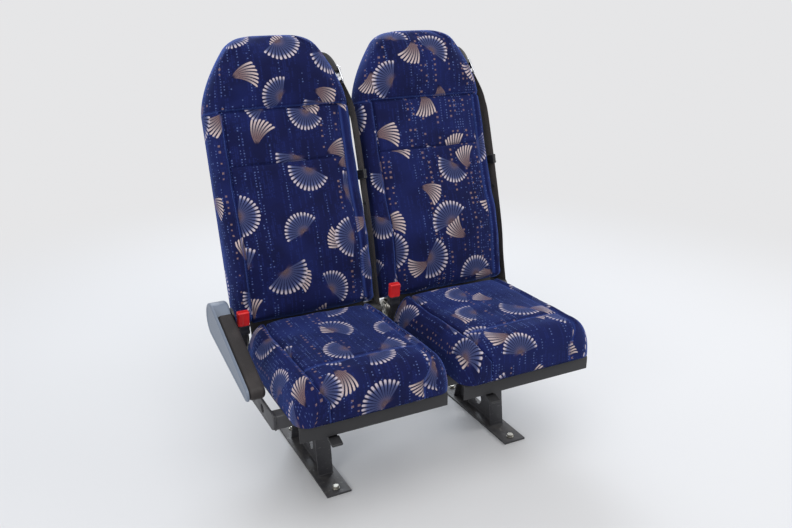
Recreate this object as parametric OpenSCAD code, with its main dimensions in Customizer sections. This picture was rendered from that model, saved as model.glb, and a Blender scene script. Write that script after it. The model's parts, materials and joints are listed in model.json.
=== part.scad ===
// Twin reclining coach seat: two upholstered places on two floor pedestals, with a folding
// aisle armrest, shoulder belts and buckles.
// Passengers face -Y, the aisle is at -X and the window at +X. The origin lies on the floor,
// in the middle of the four floor bolts.

/* [Places] */
// Gap between the two places, which holds a belt
place_gap = 25; // [24:1:50]

/* [Back] */
// Width of one back at its widest
back_w = 455; // [440:1:458]
// Length of the back from its hinge to its top
back_l = 878; // [840:2:920]
// Lean of the back from upright at rest, in degrees
back_lean = 17; // [12:1:20]
// Width of the top of the back between its shoulders
crown_w = 227; // [190:1:260]
// Radius of the corners of the top, seen from the front
crown_r = 30; // [15:1:40]
// Height of the shoulder slopes
shoulder_h = 225; // [190:5:260]
// Depth of the padding over the middle of the back
pad_t = 72; // [62:1:90]
// Extra depth of the padding at the small of the back
lumbar_t = 26; // [10:1:34]
// Height of the small of the back above the hinge
lumbar_z = 235; // [200:5:270]
// Extra depth of the head pillow
pillow_t = 20; // [8:1:30]
// Distance of the head seam below the top
head_seam = 220; // [190:5:250]
// Distance of the middle seam below the top
mid_seam = 380; // [350:5:420]
// Width of each side roll of the back
roll_w = 46; // [38:1:60]
// Height of the side rolls over the middle
roll_t = 16; // [6:1:22]
// Depth of the sewn seams
seam_t = 5; // [2:1:8]
// Depth of the moulded rear shell
shell_t = 32; // [28:1:40]
// Wall thickness of the rear shell
shell_wall = 3.5; // [2.5:0.5:5]
// Distance of the shell's edge inside the edge of the padding
shell_inset = 9; // [4:1:14]

/* [Rear pocket] */
// Width of the rear pocket
pocket_w = 300; // [220:10:320]
// Height of the rear pocket
pocket_h = 190; // [140:10:220]
// Height of the pocket's floor above the hinge
pocket_z = 330; // [280:10:380]
// Depth of the pocket at its mouth
pocket_d = 24; // [18:1:34]
// Depth of the pocket at its floor
pocket_floor_d = 9; // [7:1:14]
// Wall thickness of the pocket
pocket_wall = 2.5; // [2:0.5:4]

/* [Cushion] */
// Width of one cushion
cushion_w = 444; // [430:2:448]
// Depth of one cushion from front to rear
cushion_l = 450; // [420:5:480]
// Thickness of one cushion at its middle
cushion_t = 116; // [100:2:130]
// Height of the cushion's side rolls over its middle
cushion_roll_t = 9; // [3:1:16]
// Width of each side roll of the cushion
cushion_roll_w = 58; // [45:1:75]
// Radius of the cushion's front edge
waterfall_r = 54; // [40:2:70]
// Radius of the cushion's corners, seen from above
cushion_corner_r = 42; // [25:1:55]
// Distance from the hinge line to the cushion's rear end
cushion_gap = 71; // [70:1:90]
// Sheet thickness of the cushion pan
pan_t = 3; // [2:0.5:4]
// Height of the pan's front lip
pan_lip = 45; // [35:1:60]
// Height of the pan's side lips
pan_side = 16; // [10:1:24]

/* [Frame] */
// Height of the cross tubes' centres above the floor
tube_z = 305; // [280:5:320]
// Outside width of the square cross tubes
tube_w = 40; // [35:1:45]
// Wall thickness of the cross tubes
tube_wall = 2.5; // [2:0.5:4]
// Place of the front tube's centre
front_tube_y = -230; // [-250:5:-200]
// Place of the rear tube's centre
rear_tube_y = 130; // [126:1:134]
// Length of the tubes past the last hinge plate
tube_past = 22.5; // [15:0.5:40]
// Radius of the tubes' rolled corners
tube_r = 5; // [3:0.5:8]
// Thickness of the hinge plates and arms
plate_t = 6; // [4:0.5:7]
// Height of the hinge line above the tubes' centres
hinge_rise = 60; // [58:1:75]
// Distance of the hinge line behind the rear tube's centre
hinge_back = 45; // [38:1:55]
// Diameter of the hinge pins
hinge_pin_d = 14; // [10:1:18]
// Diameter of the round recliners
recliner_d = 62; // [50:1:66]
// Thickness of the round recliners
recliner_t = 12; // [8:1:16]

/* [Pedestals] */
// Distance between the two rows of floor bolts, across the seat
bolt_pitch_x = 600; // [560:10:640]
// Distance between the front and rear floor bolts
bolt_pitch_y = 360; // [340:5:400]
// Diameter of the floor bolt holes
bolt_hole_d = 11; // [9:0.5:13]
// Width of each foot plate
foot_w = 74; // [60:1:90]
// Length of the foot plate past its bolts
foot_end = 27; // [20:1:40]
// Thickness of each foot plate
foot_t = 6; // [4:0.5:10]
// Width of each pressed leg
leg_w = 46; // [36:1:56]
// Sheet thickness of the pressed legs
leg_t = 4; // [3:0.5:6]

/* [Armrest] */
// Distance between the armrest's pivot and the centre of its tip
arm_l = 318; // [280:2:340]
// Radius of the armrest's rear cap
arm_rear_r = 50; // [42:1:54]
// Radius of the armrest's tip
arm_tip_r = 20; // [14:1:26]
// Width of the armrest
arm_w = 52; // [44:1:64]
// Thickness of the armrest's moulded side
arm_side_t = 7; // [4:0.5:10]
// Slope of the stowed armrest's middle line, in degrees
arm_slope = 15; // [10:1:20]
// Place of the armrest's pivot, front to rear
arm_pivot_y = 100; // [90:1:110]
// Height of the armrest's pivot above the floor
arm_pivot_z = 468; // [455:1:480]
// Diameter of the armrest's pivot pin
arm_pin_d = 16; // [12:1:20]
// Distance from the cushion's edge to the armrest bracket
arm_reach = 26; // [20:1:34]
// Running gap between the armrest and its bracket
arm_gap = 6; // [5:0.5:8]

/* [Belts] */
// Width of the belt webbing
web_w = 47; // [44:1:50]
// Thickness of the belt webbing
web_t = 1.4; // [1:0.1:2]
// Distance of the inner run of webbing from the back's edge
web_off = 4; // [3:0.5:5]
// Distance between the two runs of webbing
web_step = 5; // [4:0.5:6]
// Distance of the belt ring's bolt below the top of the back
ring_drop = 106; // [95:1:120]
// Distance of the belt ring inside the back's edge
ring_in = 13; // [12:1:15]
// Distance of the latch plate below the belt ring's bolt
tongue_drop = 350; // [250:5:420]
// Thickness of the belt ring
ring_t = 5; // [4:0.5:6]
// Width of the buckles
buckle_w = 36; // [30:1:38]
// Depth of the buckles, front to rear
buckle_d = 22; // [18:1:26]
// Height of the buckles
buckle_h = 70; // [60:1:78]
// Height of the red release button
button_h = 42; // [30:1:46]

/* [Hidden] */
$fn = 48;

// Clearances: seated parts, a pin in its bore, and a moving plate beside a fixed one
seat_gap = 0.3;
pin_gap = 0.1;
hinge_gap = 1;

// Places of the two seats across the part
place_pitch = max(back_w, cushion_w) + place_gap;
aisle_x = -place_pitch / 2;
window_x = place_pitch / 2;

// Heights and places of the frame
tube_top_z = tube_z + tube_w / 2;
tube_low_z = tube_z - tube_w / 2;
hinge_y = rear_tube_y + hinge_back;
hinge_z = tube_z + hinge_rise;
cushion_z = tube_top_z + pan_t;
cushion_rear_y = hinge_y - cushion_gap;
cushion_front_y = cushion_rear_y - cushion_l;

// Widths, measured from a seat's own centre line
back_half = back_w / 2;
cushion_half = cushion_w / 2;
arm_out_x = back_half - 32;
arm_in_x = arm_out_x - plate_t;
plate_in_x = arm_out_x + hinge_gap;
plate_out_x = plate_in_x + plate_t;
cover_in_x = plate_out_x + hinge_gap;
tube_wall_end = window_x + plate_out_x + tube_past;

// Armrest, measured across the whole part
bracket_in_x = aisle_x - cushion_half - arm_reach;
bracket_out_x = bracket_in_x - plate_t;
arm_in_face_x = bracket_out_x - arm_gap;
arm_out_face_x = arm_in_face_x - arm_w;

// Hinge, arms and padding of the back, along the back from the hinge
lug_r = 27;
pad_low = 36;
pad_low_r = 22;
pad_top_r = 42;
shoulder_power = 1.65;
edge_power = 7;
edge_root = 2.2;
seam_half = 7;

// Eased step from 0 to 1, and a bell of height 1 around 0
function ease(t) = let (c = min(1, max(0, t))) c * c * (3 - 2 * c);
function bell(t) = exp(-t * t);

// Points of an arc of radius r around c from angle a to angle b in n steps
function arc(c, r, a, b, n) =
    [for (i = [0:n]) c + r * [cos(a + (b - a) * i / n), sin(a + (b - a) * i / n)]];

// Outline of two circles and their outer tangents: radius r around p, radius s around q
function link(p, r, q, s, n = 10) =
    let (d = q - p, a = atan2(d.y, d.x), b = acos((r - s) / norm(d)))
    concat(arc(q, s, a - b, a + b, n), arc(p, r, a + b, a + 360 - b, n));

// Strip of thickness t whose middle line follows the points of a path, with mitred bends
function unit(v) = v / norm(v);
function strip_side(path, t, side) =
    let (last = len(path) - 1)
    [for (i = [0:last])
        let (
            a = unit(path[max(1, i)] - path[max(1, i) - 1]),
            b = unit(path[min(last, i + 1)] - path[min(last, i + 1) - 1]),
            d = unit(a + b)
        )
        path[i] + side * t / 2 / (a * d) * [-d.y, d.x]];
function strip(path, t) =
    let (left = strip_side(path, t, 1), right = strip_side(path, t, -1))
    concat(left, [for (i = [len(right) - 1:-1:0]) right[i]]);

// Solid through a row of rings with equal numbers of points, closed at both ends. A walled ring
// runs along its outside and back along its inside, and its ends close between the two
module loft(rings, flip = false, walled = false) {
    n = len(rings[0]);
    m = len(rings);
    top = (m - 1) * n;
    sides = [for (k = [0:m - 2]) for (i = [0:n - 1])
        let (j = (i + 1) % n, a = k * n + i, b = a + n, c = (k + 1) * n + j, d = k * n + j)
        each [[a, b, c], [a, c, d]]];
    ends = walled
        ? [for (i = [0:n / 2 - 2]) let (a = n - 1 - i, b = n - 2 - i)
            each [[i, i + 1, b], [i, b, a], [top + b, top + i + 1, top + i],
                [top + a, top + b, top + i]]]
        : [[for (i = [0:n - 1]) i], [for (i = [n - 1:-1:0]) top + i]];
    faces = concat(sides, ends);
    turned = [for (f = faces) [for (i = [len(f) - 1:-1:0]) f[i]]];
    polyhedron([for (r = rings) each r], flip ? turned : faces, convexity = 6);
}

// Plate in the YZ plane: extrudes its child from x = a to x = b
module across(a, b) {
    translate([a, 0, 0]) rotate([90, 0, 90]) linear_extrude(b - a) children();
}

// Places its children in a back's own frame: z up along the back from the hinge
module back_place(x) {
    translate([x, hinge_y, hinge_z]) rotate([-back_lean, 0, 0]) children();
}

// Half outline of the padded back, d below its top
function back_half_at(d) =
    let (
        slope = 1 - min(1, max(0, d) / shoulder_h),
        round_in = d < crown_r ? crown_r - sqrt(crown_r * crown_r - pow(crown_r - d, 2)) : 0
    )
    back_half - (back_half - crown_w / 2) * pow(slope, shoulder_power) - round_in;

// Share of the full depth that is left near a rounded end, h away from that end
function end_share(h, r, least) = h >= r ? 1 : max(least, sqrt(1 - pow(1 - h / r, 2)));

// One padded section: across from +half to -half, its depth falling to 0 at both edges
ring_steps = 24;
function padded_ring(half, depth, roll, roll_width) =
    [for (i = [0:ring_steps])
        let (
            s = cos(180 * i / ring_steps),
            fall = pow(1 - pow(abs(s), edge_power), 1 / edge_root),
            into_roll = (half * abs(s) - (half - roll_width)) / 14
        )
        [half * s, fall * (depth + roll * ease(into_roll))]];

// Depth of the padding over the middle of the back, z above the hinge
head_seam_z = back_l - head_seam;
mid_seam_z = back_l - mid_seam;
function back_depth(z) =
    (pad_t
        + lumbar_t * bell((z - lumbar_z) / 120)
        + pillow_t * ease((z - head_seam_z) / 60)
        - seam_t * bell((z - head_seam_z) / seam_half)
        - seam_t * bell((z - mid_seam_z) / seam_half))
    * end_share(back_l - z, pad_top_r, 0.2)
    * end_share(z - pad_low, pad_low_r, 0.4);

// Heights of the back's sections: rounded foot, middle seam, head seam, rounded top
seam_steps = [-10, -4, 0, 4, 10];
back_stations = concat(
    [for (h = [0, 5, 12, 22]) pad_low + h],
    [for (i = [1:7]) pad_low + 22 + (mid_seam_z - pad_low - 34) * i / 7.2],
    [for (h = seam_steps) mid_seam_z + h],
    [for (i = [1:3]) mid_seam_z + 10 + (head_seam_z - mid_seam_z - 20) * i / 4],
    [for (h = seam_steps) head_seam_z + h],
    [for (i = [1:4]) head_seam_z + 10 + (head_seam - 58) * i / 4],
    [for (d = [32, 20, 11, 5, 1.5, 0]) back_l - d]
);

// The side rolls stand out by their own height and bridge the middle seam
function back_roll(z) =
    (roll_t + seam_t * bell((z - mid_seam_z) / seam_half)) * end_share(back_l - z, pad_top_r, 0);

module back_pad(x) {
    color([0.1, 0.13, 0.36])
    back_place(x)
    loft([for (z = back_stations)
        [for (p = padded_ring(back_half_at(back_l - z), back_depth(z), back_roll(z), roll_w))
            [p.x, -p.y, z]]], true);
}

// Rear shell: an open tray, its rim flat against the back of the padding
shell_steps = 16;
function shell_ring(z) =
    let (
        half = back_half_at(back_l - z) - shell_inset,
        depth = shell_t * end_share(back_l - shell_inset - z, pad_top_r, 0.3),
        hollow = z > back_l - pad_top_r ? 0.6 : depth - shell_wall,
        inner = half - shell_wall
    )
    concat(
        [for (i = [0:shell_steps]) let (s = cos(180 * i / shell_steps))
            [half * s, depth * pow(1 - pow(abs(s), edge_power), 1 / edge_root), z]],
        [for (i = [shell_steps:-1:0]) let (s = cos(180 * i / shell_steps))
            [inner * s, hollow * pow(1 - pow(abs(s), edge_power), 1 / edge_root), z]]
    );
shell_stations = concat(
    [for (i = [0:5]) pad_low + (back_l - shoulder_h - pad_low) * i / 5],
    [for (d = [190, 150, 110, 75, 50, 41, 30, 20, 12]) back_l - d],
    [back_l - shell_inset]
);

module back_shell(x) {
    color([0.16, 0.17, 0.2])
    back_place(x)
    loft([for (z = shell_stations) shell_ring(z)], false, true);
}

// Hinge arms, pins and cross rods that carry one back
arm_top = 200;
arm_deep = 16;
rod_d = 15;
module back_frame(x) {
    color([0.2, 0.2, 0.22])
    back_place(x) {
        for (side = [-1, 1]) {
            inner = side < 0 ? -arm_out_x : arm_in_x;
            across(inner, inner + plate_t) difference() {
                union() {
                    polygon(link([0, 0], lug_r - 3, [arm_deep / 2, pad_low + 30], arm_deep / 2));
                    translate([0, pad_low + 30]) square([arm_deep, arm_top - pad_low - 30]);
                }
                translate([-lug_r * 2, pad_low - seat_gap]) square([lug_r * 2, arm_top]);
            }
        }
        translate([-plate_out_x - recliner_t + 1, 0, 0]) rotate([0, 90, 0])
            cylinder(d = hinge_pin_d, h = plate_out_x + recliner_t - 1 - arm_in_x);
        translate([arm_in_x, 0, 0]) rotate([0, 90, 0])
            cylinder(d = hinge_pin_d, h = cover_in_x - arm_in_x);
        for (z = [pad_low + 40, arm_top - 20])
            translate([-arm_in_x, arm_deep / 2, z]) rotate([0, 90, 0])
                cylinder(d = rod_d, h = 2 * arm_in_x);
    }
}

// Open pocket on the rear shell, wider at its mouth
module pocket(x) {
    half = pocket_w / 2;
    top = pocket_z + pocket_h;
    wall = [[shell_t + pocket_floor_d, pocket_z], [shell_t + pocket_d, top]];
    flank = [[shell_t, pocket_z], wall[0], wall[1], [shell_t, top]];
    color([0.14, 0.14, 0.16])
    back_place(x) {
        across(-half, half) {
            polygon([wall[0], wall[1], wall[1] - [pocket_wall, 0], wall[0] - [pocket_wall, 0]]);
            translate([shell_t, pocket_z])
                square([pocket_floor_d - pocket_wall / 2, pocket_wall]);
        }
        for (u = [-half, half - pocket_wall])
            across(u, u + pocket_wall) polygon(flank);
    }
}

// Moulded cover that arches from the shoulder out to the belt ring
bracket_top = 50;
bracket_low = ring_drop + 12;
ring_x = back_half - ring_in;
bracket_front = 34;
bracket_behind = 14;
function shoulder_line(off, n = 8) =
    [for (i = [0:n]) let (d = bracket_low + (bracket_top - bracket_low) * i / n)
        [back_half_at(d) + off, back_l - d]];
module bracket_outline(off) {
    x0 = back_half_at(bracket_top) + 4;
    dome = [for (t = [0:10:90])
        [x0 + (ring_x - x0) * sin(t),
            back_l - bracket_low + (bracket_low - bracket_top) * cos(t)]];
    polygon(concat(dome, shoulder_line(off)));
}
module belt_bracket(x) {
    color([0.13, 0.13, 0.14])
    back_place(x) {
        rotate([90, 0, 0])
            linear_extrude(bracket_front) bracket_outline(seat_gap * 2);
        translate([0, bracket_behind, 0]) rotate([90, 0, 0])
            linear_extrude(bracket_behind) bracket_outline(seat_gap - shell_inset);
    }
}

// Belt ring: a flat loop in the plane of the back's side, hung on one bolt
ring_y = -12;
ring_half = 23;
ring_fall = 37;
ring_corner = 9;
ring_eye = 13;
ring_slot_h = 13;
ring_bar = 8;
ring_z = back_l - ring_drop;
bar_low_z = ring_z - ring_fall - ring_corner;
bar_top_z = bar_low_z + ring_bar;
slot_w = web_w + 3;
module belt_ring(x) {
    left = [ring_y - ring_half, ring_z - ring_fall];
    right = [ring_y + ring_half, ring_z - ring_fall];
    eye = [ring_y, ring_z];
    color([0.8, 0.8, 0.82])
    back_place(x) {
        across(ring_x, ring_x + ring_t) difference() {
            union() {
                polygon(link(eye, ring_eye, left, ring_corner));
                polygon(link(eye, ring_eye, right, ring_corner));
                polygon(link(left, ring_corner, right, ring_corner));
            }
            translate([ring_y - slot_w / 2, bar_top_z]) square([slot_w, ring_slot_h]);
        }
        translate([ring_x + ring_t, ring_y, ring_z]) rotate([0, 90, 0])
            cylinder(d = 17, h = 5);
    }
}

// Webbing: up from the cover, over the ring's bar and down again in front.
// Columns: distance across, distance front to rear, height along the back
web_in_x = back_half + web_off;
web_out_x = web_in_x + web_step;
over_bar = 0.6 + web_t / 2;
web_end_z = 22;
web_low_z = 120;
shoulder_z = back_l - shoulder_h;
tongue_y = -44;
web_path = [
    [web_in_x, 10, web_end_z],
    [web_in_x, 11, web_low_z],
    [web_in_x, 10, shoulder_z - 115],
    [web_in_x, 3, shoulder_z - 45],
    [web_in_x, 0, shoulder_z - 7],
    [web_in_x - 6, -5, shoulder_z + 29],
    [ring_x - over_bar, -10, bar_low_z + 1],
    [ring_x - over_bar, ring_y, bar_top_z - 0.5],
    [ring_x - over_bar + 2, ring_y, bar_top_z + over_bar],
    [ring_x + ring_t + over_bar - 2, ring_y, bar_top_z + over_bar],
    [ring_x + ring_t + over_bar, ring_y, bar_top_z - 0.5],
    [ring_x + ring_t + over_bar, -14, bar_low_z - 1],
    [web_out_x - 3, -24, shoulder_z + 25],
    [web_out_x, -34, shoulder_z - 15],
    [web_out_x, tongue_y, shoulder_z - 95],
    [web_out_x, tongue_y, 2 * web_low_z],
    [web_out_x, -30, web_low_z - 10],
    [web_out_x, -24, web_end_z],
];
function web_ring(i) =
    let (
        last = len(web_path) - 1,
        d = web_path[min(last, i + 1)] - web_path[max(0, i - 1)],
        run = norm([d.x, d.z]),
        out = [-d.z, 0, d.x] / run * web_t / 2,
        wide = [0, web_w / 2, 0],
        p = web_path[i]
    )
    [p + out + wide, p - out + wide, p - out - wide, p + out - wide];
module webbing(x) {
    color([0.1, 0.09, 0.09])
    back_place(x)
    loft([for (i = [0:len(web_path) - 1]) web_ring(i)]);
}

// Latch plate on the front run of webbing
tongue_z = ring_z - tongue_drop;
tongue_body = [12, web_w + 11, 30];
tongue_blade = [2.5, 24, 38];
module belt_tongue(x) {
    color([0.12, 0.12, 0.13])
    back_place(x)
    translate([web_out_x, tongue_y, tongue_z]) {
        difference() {
            translate([-tongue_body.x / 2, -tongue_body.y / 2, 0]) cube(tongue_body);
            translate([-web_t / 2 - 0.5, -web_w / 2 - 1.5, -1])
                cube([web_t + 1, web_w + 3, tongue_body.z + 2]);
        }
        translate([2, -tongue_blade.y / 2, -tongue_blade.z])
            cube([tongue_blade.x, tongue_blade.y, tongue_blade.z]);
    }
}

// Moulded cover over the hinge, which takes in both ends of the webbing
cover_r = 32;
cover_out_x = web_out_x + web_t / 2 + 3;
module belt_cover(x) {
    color([0.13, 0.13, 0.14])
    back_place(x)
    difference() {
        across(cover_in_x, cover_out_x) difference() {
            polygon(link([-20, 2], cover_r, [10, 0], cover_r, 12));
            translate([-60, pad_low - 1]) square([120, 40]);
        }
        translate([web_in_x - 2, 10 - web_w / 2 - 2, web_end_z])
            cube([cover_out_x - web_in_x, web_w + 4, 40]);
        translate([web_in_x - 2, -24 - web_w / 2 - 2, web_end_z])
            cube([cover_out_x - web_in_x, web_w + 4, 40]);
    }
}

// Cushion: sections from its front face to its rear end
function cushion_half_at(h, l) =
    let (
        r = cushion_corner_r,
        front = h < r ? r - sqrt(r * r - pow(r - h, 2)) : 0,
        rear = l < 90 ? 10 * ease((90 - l) / 80) : 0
    )
    cushion_half - front - rear;
cushion_stations = concat(
    [0, 3, 9, 18, 30, 44, waterfall_r + 6],
    [for (i = [1:6]) waterfall_r + 6 + (cushion_l - waterfall_r - 24) * i / 6.2],
    [cushion_l - 9, cushion_l - 3, cushion_l]
);
module cushion(x) {
    color([0.1, 0.13, 0.36])
    translate([x, cushion_front_y, cushion_z])
    loft([for (h = cushion_stations)
        let (
            l = cushion_l - h,
            share = end_share(h, waterfall_r, 0.5) * end_share(l, 16, 0.7),
            depth = cushion_t - 10 * ease(h / cushion_l)
        )
        [for (p = padded_ring(cushion_half_at(h, l), depth * share,
                cushion_roll_t * share, cushion_roll_w)) [p.x, h, p.y]]], true);
}

// Pan under a cushion: a sheet with a front lip and two side lips turned down, vents and a narrow
// rear tongue. The side lips stop short of the tubes
lip_r = 14;
pan_inset = 8;
lip_clear = 5;
module pan(x) {
    front = cushion_front_y + 16;
    rear = rear_tube_y + tube_w / 2;
    half = cushion_half - pan_inset;
    mid_z = tube_top_z + pan_t / 2;
    bend = arc([front + lip_r, mid_z - lip_r], lip_r, 90, 180, 6);
    sheet = concat([[rear, mid_z]], bend, [[front, mid_z - pan_lip]]);
    tongue_half = arm_in_x - 10;
    lip_front = front_tube_y + tube_w / 2 + lip_clear;
    lip_rear = rear_tube_y - tube_w / 2 - lip_clear - 20;
    color([0.12, 0.12, 0.13])
    translate([x, 0, 0])
    difference() {
        union() {
            across(-half, half) polygon(strip(sheet, pan_t));
            for (u = [-half, half - pan_t])
                across(u, u + pan_t) polygon([
                    [lip_front, tube_top_z + 1], [lip_rear, tube_top_z + 1],
                    [lip_rear - pan_side, tube_top_z - pan_side],
                    [lip_front + pan_side, tube_top_z - pan_side]]);
        }
        for (side = [-1, 1])
            translate([side * (tongue_half + 50) - 50, cushion_rear_y - 2, tube_top_z - 1])
                cube([100, 100, pan_t + 2]);
        for (u = [-1.5:1:1.5])
            for (v = [0:3])
                translate([u * half / 2.3, front + 160 + v * 58, tube_top_z - 1])
                    cylinder(d = 30, h = pan_t + 2);
    }
}

// Square cross tube with rolled corners, open at both ends
function rounded_square(w, r) =
    [for (turn = [0:90:270])
        each arc((w / 2 - r) * sqrt(2) * [cos(turn + 45), sin(turn + 45)], r, turn, turn + 90, 6)];
module cross_tube(y) {
    color([0.17, 0.17, 0.19])
    across(bracket_in_x, tube_wall_end) translate([y, tube_z]) difference() {
        polygon(rounded_square(tube_w, tube_r));
        polygon(rounded_square(tube_w - 2 * tube_wall, tube_r - tube_wall));
    }
}

// Hinge plate beside one back: a beam between the tubes and a lug up to the hinge
module side_plate(x) {
    beam_front = front_tube_y + tube_w / 2;
    color([0.2, 0.2, 0.22])
    difference() {
        across(x - plate_t / 2, x + plate_t / 2) difference() {
            union() {
                translate([beam_front, tube_low_z + 2])
                    square([rear_tube_y - beam_front, tube_w - 4]);
                polygon(link([rear_tube_y, tube_z], tube_w * 0.78, [hinge_y, hinge_z], lug_r));
            }
            translate([rear_tube_y, tube_z]) polygon(rounded_square(tube_w, tube_r));
        }
        translate([x - plate_t, hinge_y, hinge_z]) rotate([0, 90, 0])
            cylinder(d = hinge_pin_d + 2 * pin_gap, h = 2 * plate_t);
        for (i = [1:4])
            translate([x - plate_t, beam_front + (cushion_rear_y - beam_front) * i / 5, tube_z])
                rotate([0, 90, 0]) cylinder(d = tube_w * 0.5, h = 2 * plate_t);
    }
}
plate_mid_x = (plate_in_x + plate_out_x) / 2;

// Round recliner on the outside of a seat's aisle hinge plate
module recliner(x) {
    color([0.55, 0.56, 0.58])
    translate([x - plate_out_x - recliner_t, hinge_y, hinge_z]) rotate([0, 90, 0])
    difference() {
        union() {
            translate([0, 0, 3]) cylinder(d = recliner_d, h = recliner_t - 3);
            cylinder(d = recliner_d * 0.78, h = 3);
        }
        translate([0, 0, -1]) cylinder(d = hinge_pin_d + 2 * pin_gap, h = recliner_t + 2);
        for (a = [0:60:300])
            rotate([0, 0, a]) translate([recliner_d * 0.27, 0, -1]) cylinder(d = 6, h = 4);
    }
}

// Release lever under the front of a cushion
lever_w = 26;
lever_t = 4;
lever_reach = 24;
module lever(x) {
    top = tube_low_z - lever_t / 2;
    low = tube_low_z - pan_lip * 0.25 - lever_t;
    path = [[front_tube_y + tube_w / 2, top], [front_tube_y - tube_w / 2, top],
        [front_tube_y - tube_w / 2 - 40, low], [cushion_front_y + 20, low],
        [cushion_front_y + 20 - lever_reach, low - 8]];
    color([0.12, 0.12, 0.13])
    across(x - lever_w / 2, x + lever_w / 2) polygon(strip(path, lever_t));
}
lever_off = 120;

// One pressed leg on its foot plate, with a waist and lightening holes
waist_z = tube_low_z * 0.52;
waist_front_y = -88;
waist_rear_y = 100;
waist_hole_d = 96;
top_hole_d = 58;
foot_hole_d = 44;
module pedestal(x) {
    front_top = front_tube_y - tube_w / 2;
    rear_top = rear_tube_y + tube_w / 2;
    foot_half = bolt_pitch_y / 2 + foot_end;
    front_edge = [[front_top, tube_low_z], [front_top, tube_low_z - 22],
        [waist_front_y - 24, waist_z + 26], [waist_front_y, waist_z - 26],
        [waist_front_y - 16, foot_t]];
    rear_edge = [[rear_top, tube_low_z], [rear_top, tube_low_z - 40],
        [waist_rear_y + 8, waist_z + 20], [waist_rear_y, waist_z - 24],
        [waist_rear_y + 28, foot_t]];
    web = concat(front_edge, [for (i = [len(rear_edge) - 1:-1:0]) rear_edge[i]]);
    inset = [leg_t / 2, 0];
    color([0.19, 0.19, 0.21])
    difference() {
        union() {
            translate([x - foot_w / 2, -foot_half, 0]) cube([foot_w, 2 * foot_half, foot_t]);
            across(x - leg_t / 2, x + leg_t / 2) polygon(web);
            across(x - leg_w / 2, x + leg_w / 2) {
                polygon(strip([for (p = front_edge) p + inset], leg_t));
                polygon(strip([for (p = rear_edge) p - inset], leg_t));
            }
            translate([x - leg_w / 2, front_top, tube_low_z - leg_t])
                cube([leg_w, rear_top - front_top, leg_t]);
        }
        for (y = [-1, 1])
            translate([x, y * bolt_pitch_y / 2, -1]) cylinder(d = bolt_hole_d, h = foot_t + 2);
        for (hole = [
                [(waist_front_y + waist_rear_y) / 2, waist_z, waist_hole_d],
                [waist_front_y - 16, tube_low_z - 56, top_hole_d],
                [waist_rear_y - 28, tube_low_z - 56, top_hole_d],
                [12, foot_t + 44, foot_hole_d]])
            translate([x - leg_w, hole.x, hole.y]) rotate([0, 90, 0])
                cylinder(d = hole[2], h = 2 * leg_w);
    }
}

// Buckle, its stalk and its button at the aisle side of a seat
buckle_y = cushion_rear_y - 34;
buckle_z = cushion_z + cushion_t - 20;
buckle_lean = 6;
stalk_w = 20;
stalk_clear = 4;
buckle_off = max(cushion_half + 6, plate_out_x + stalk_w / 2 + stalk_clear);
stalk_t = 4;
stalk_rise = 34;
module buckle_stalk(x) {
    foot_y = rear_tube_y - tube_w / 2 - stalk_t / 2;
    path = [[foot_y, tube_low_z + 4], [foot_y, tube_top_z - 6],
        [buckle_y + 22, tube_top_z + stalk_rise], [buckle_y + 4, buckle_z - 28],
        [buckle_y, buckle_z]];
    color([0.12, 0.12, 0.13])
    across(x - stalk_w / 2, x + stalk_w / 2) polygon(strip(path, stalk_t));
}
module buckle_place(x) {
    translate([x, buckle_y, buckle_z]) rotate([buckle_lean, 0, 0]) children();
}
module rounded_block(w, d, h, r) {
    linear_extrude(h) {
        square([w - 2 * r, d], center = true);
        square([w, d - 2 * r], center = true);
        for (u = [-1, 1])
            for (v = [-1, 1])
                translate([u * (w / 2 - r), v * (d / 2 - r)]) circle(r);
    }
}
module buckle(x) {
    color([0.1, 0.1, 0.11])
    buckle_place(x) rounded_block(buckle_w, buckle_d, buckle_h - button_h, 6);
}
module buckle_button(x) {
    color([0.8, 0.1, 0.1])
    buckle_place(x) translate([0, 0, buckle_h - button_h])
    difference() {
        rounded_block(buckle_w - 2, buckle_d - 2, button_h, 5);
        translate([-13, -1.5, button_h - 14]) cube([26, 3, 15]);
    }
}

// Bracket at the tubes' aisle end, with the armrest's pin
bracket_rear_r = 26;
module armrest_bracket() {
    pin_end = arm_out_face_x + arm_side_t + 3;
    color([0.2, 0.2, 0.22]) {
        difference() {
            across(bracket_out_x, bracket_in_x) union() {
                polygon(link([rear_tube_y - 8, tube_z], 32, [arm_pivot_y, arm_pivot_z],
                    bracket_rear_r));
                polygon(link([rear_tube_y - 8, tube_z], tube_w * 0.6, [front_tube_y, tube_z],
                    tube_w * 0.6));
            }
            for (i = [1:4])
                translate([bracket_out_x - 1, rear_tube_y - i * 72, tube_z]) rotate([0, 90, 0])
                    cylinder(d = 24, h = plate_t + 2);
            translate([bracket_out_x - 1, (rear_tube_y + arm_pivot_y) / 2 - 4, tube_z + 78])
                rotate([0, 90, 0]) cylinder(d = 26, h = plate_t + 2);
        }
        translate([pin_end, arm_pivot_y, arm_pivot_z]) rotate([0, 90, 0])
            cylinder(d = arm_pin_d, h = bracket_out_x - pin_end);
    }
}

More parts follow.
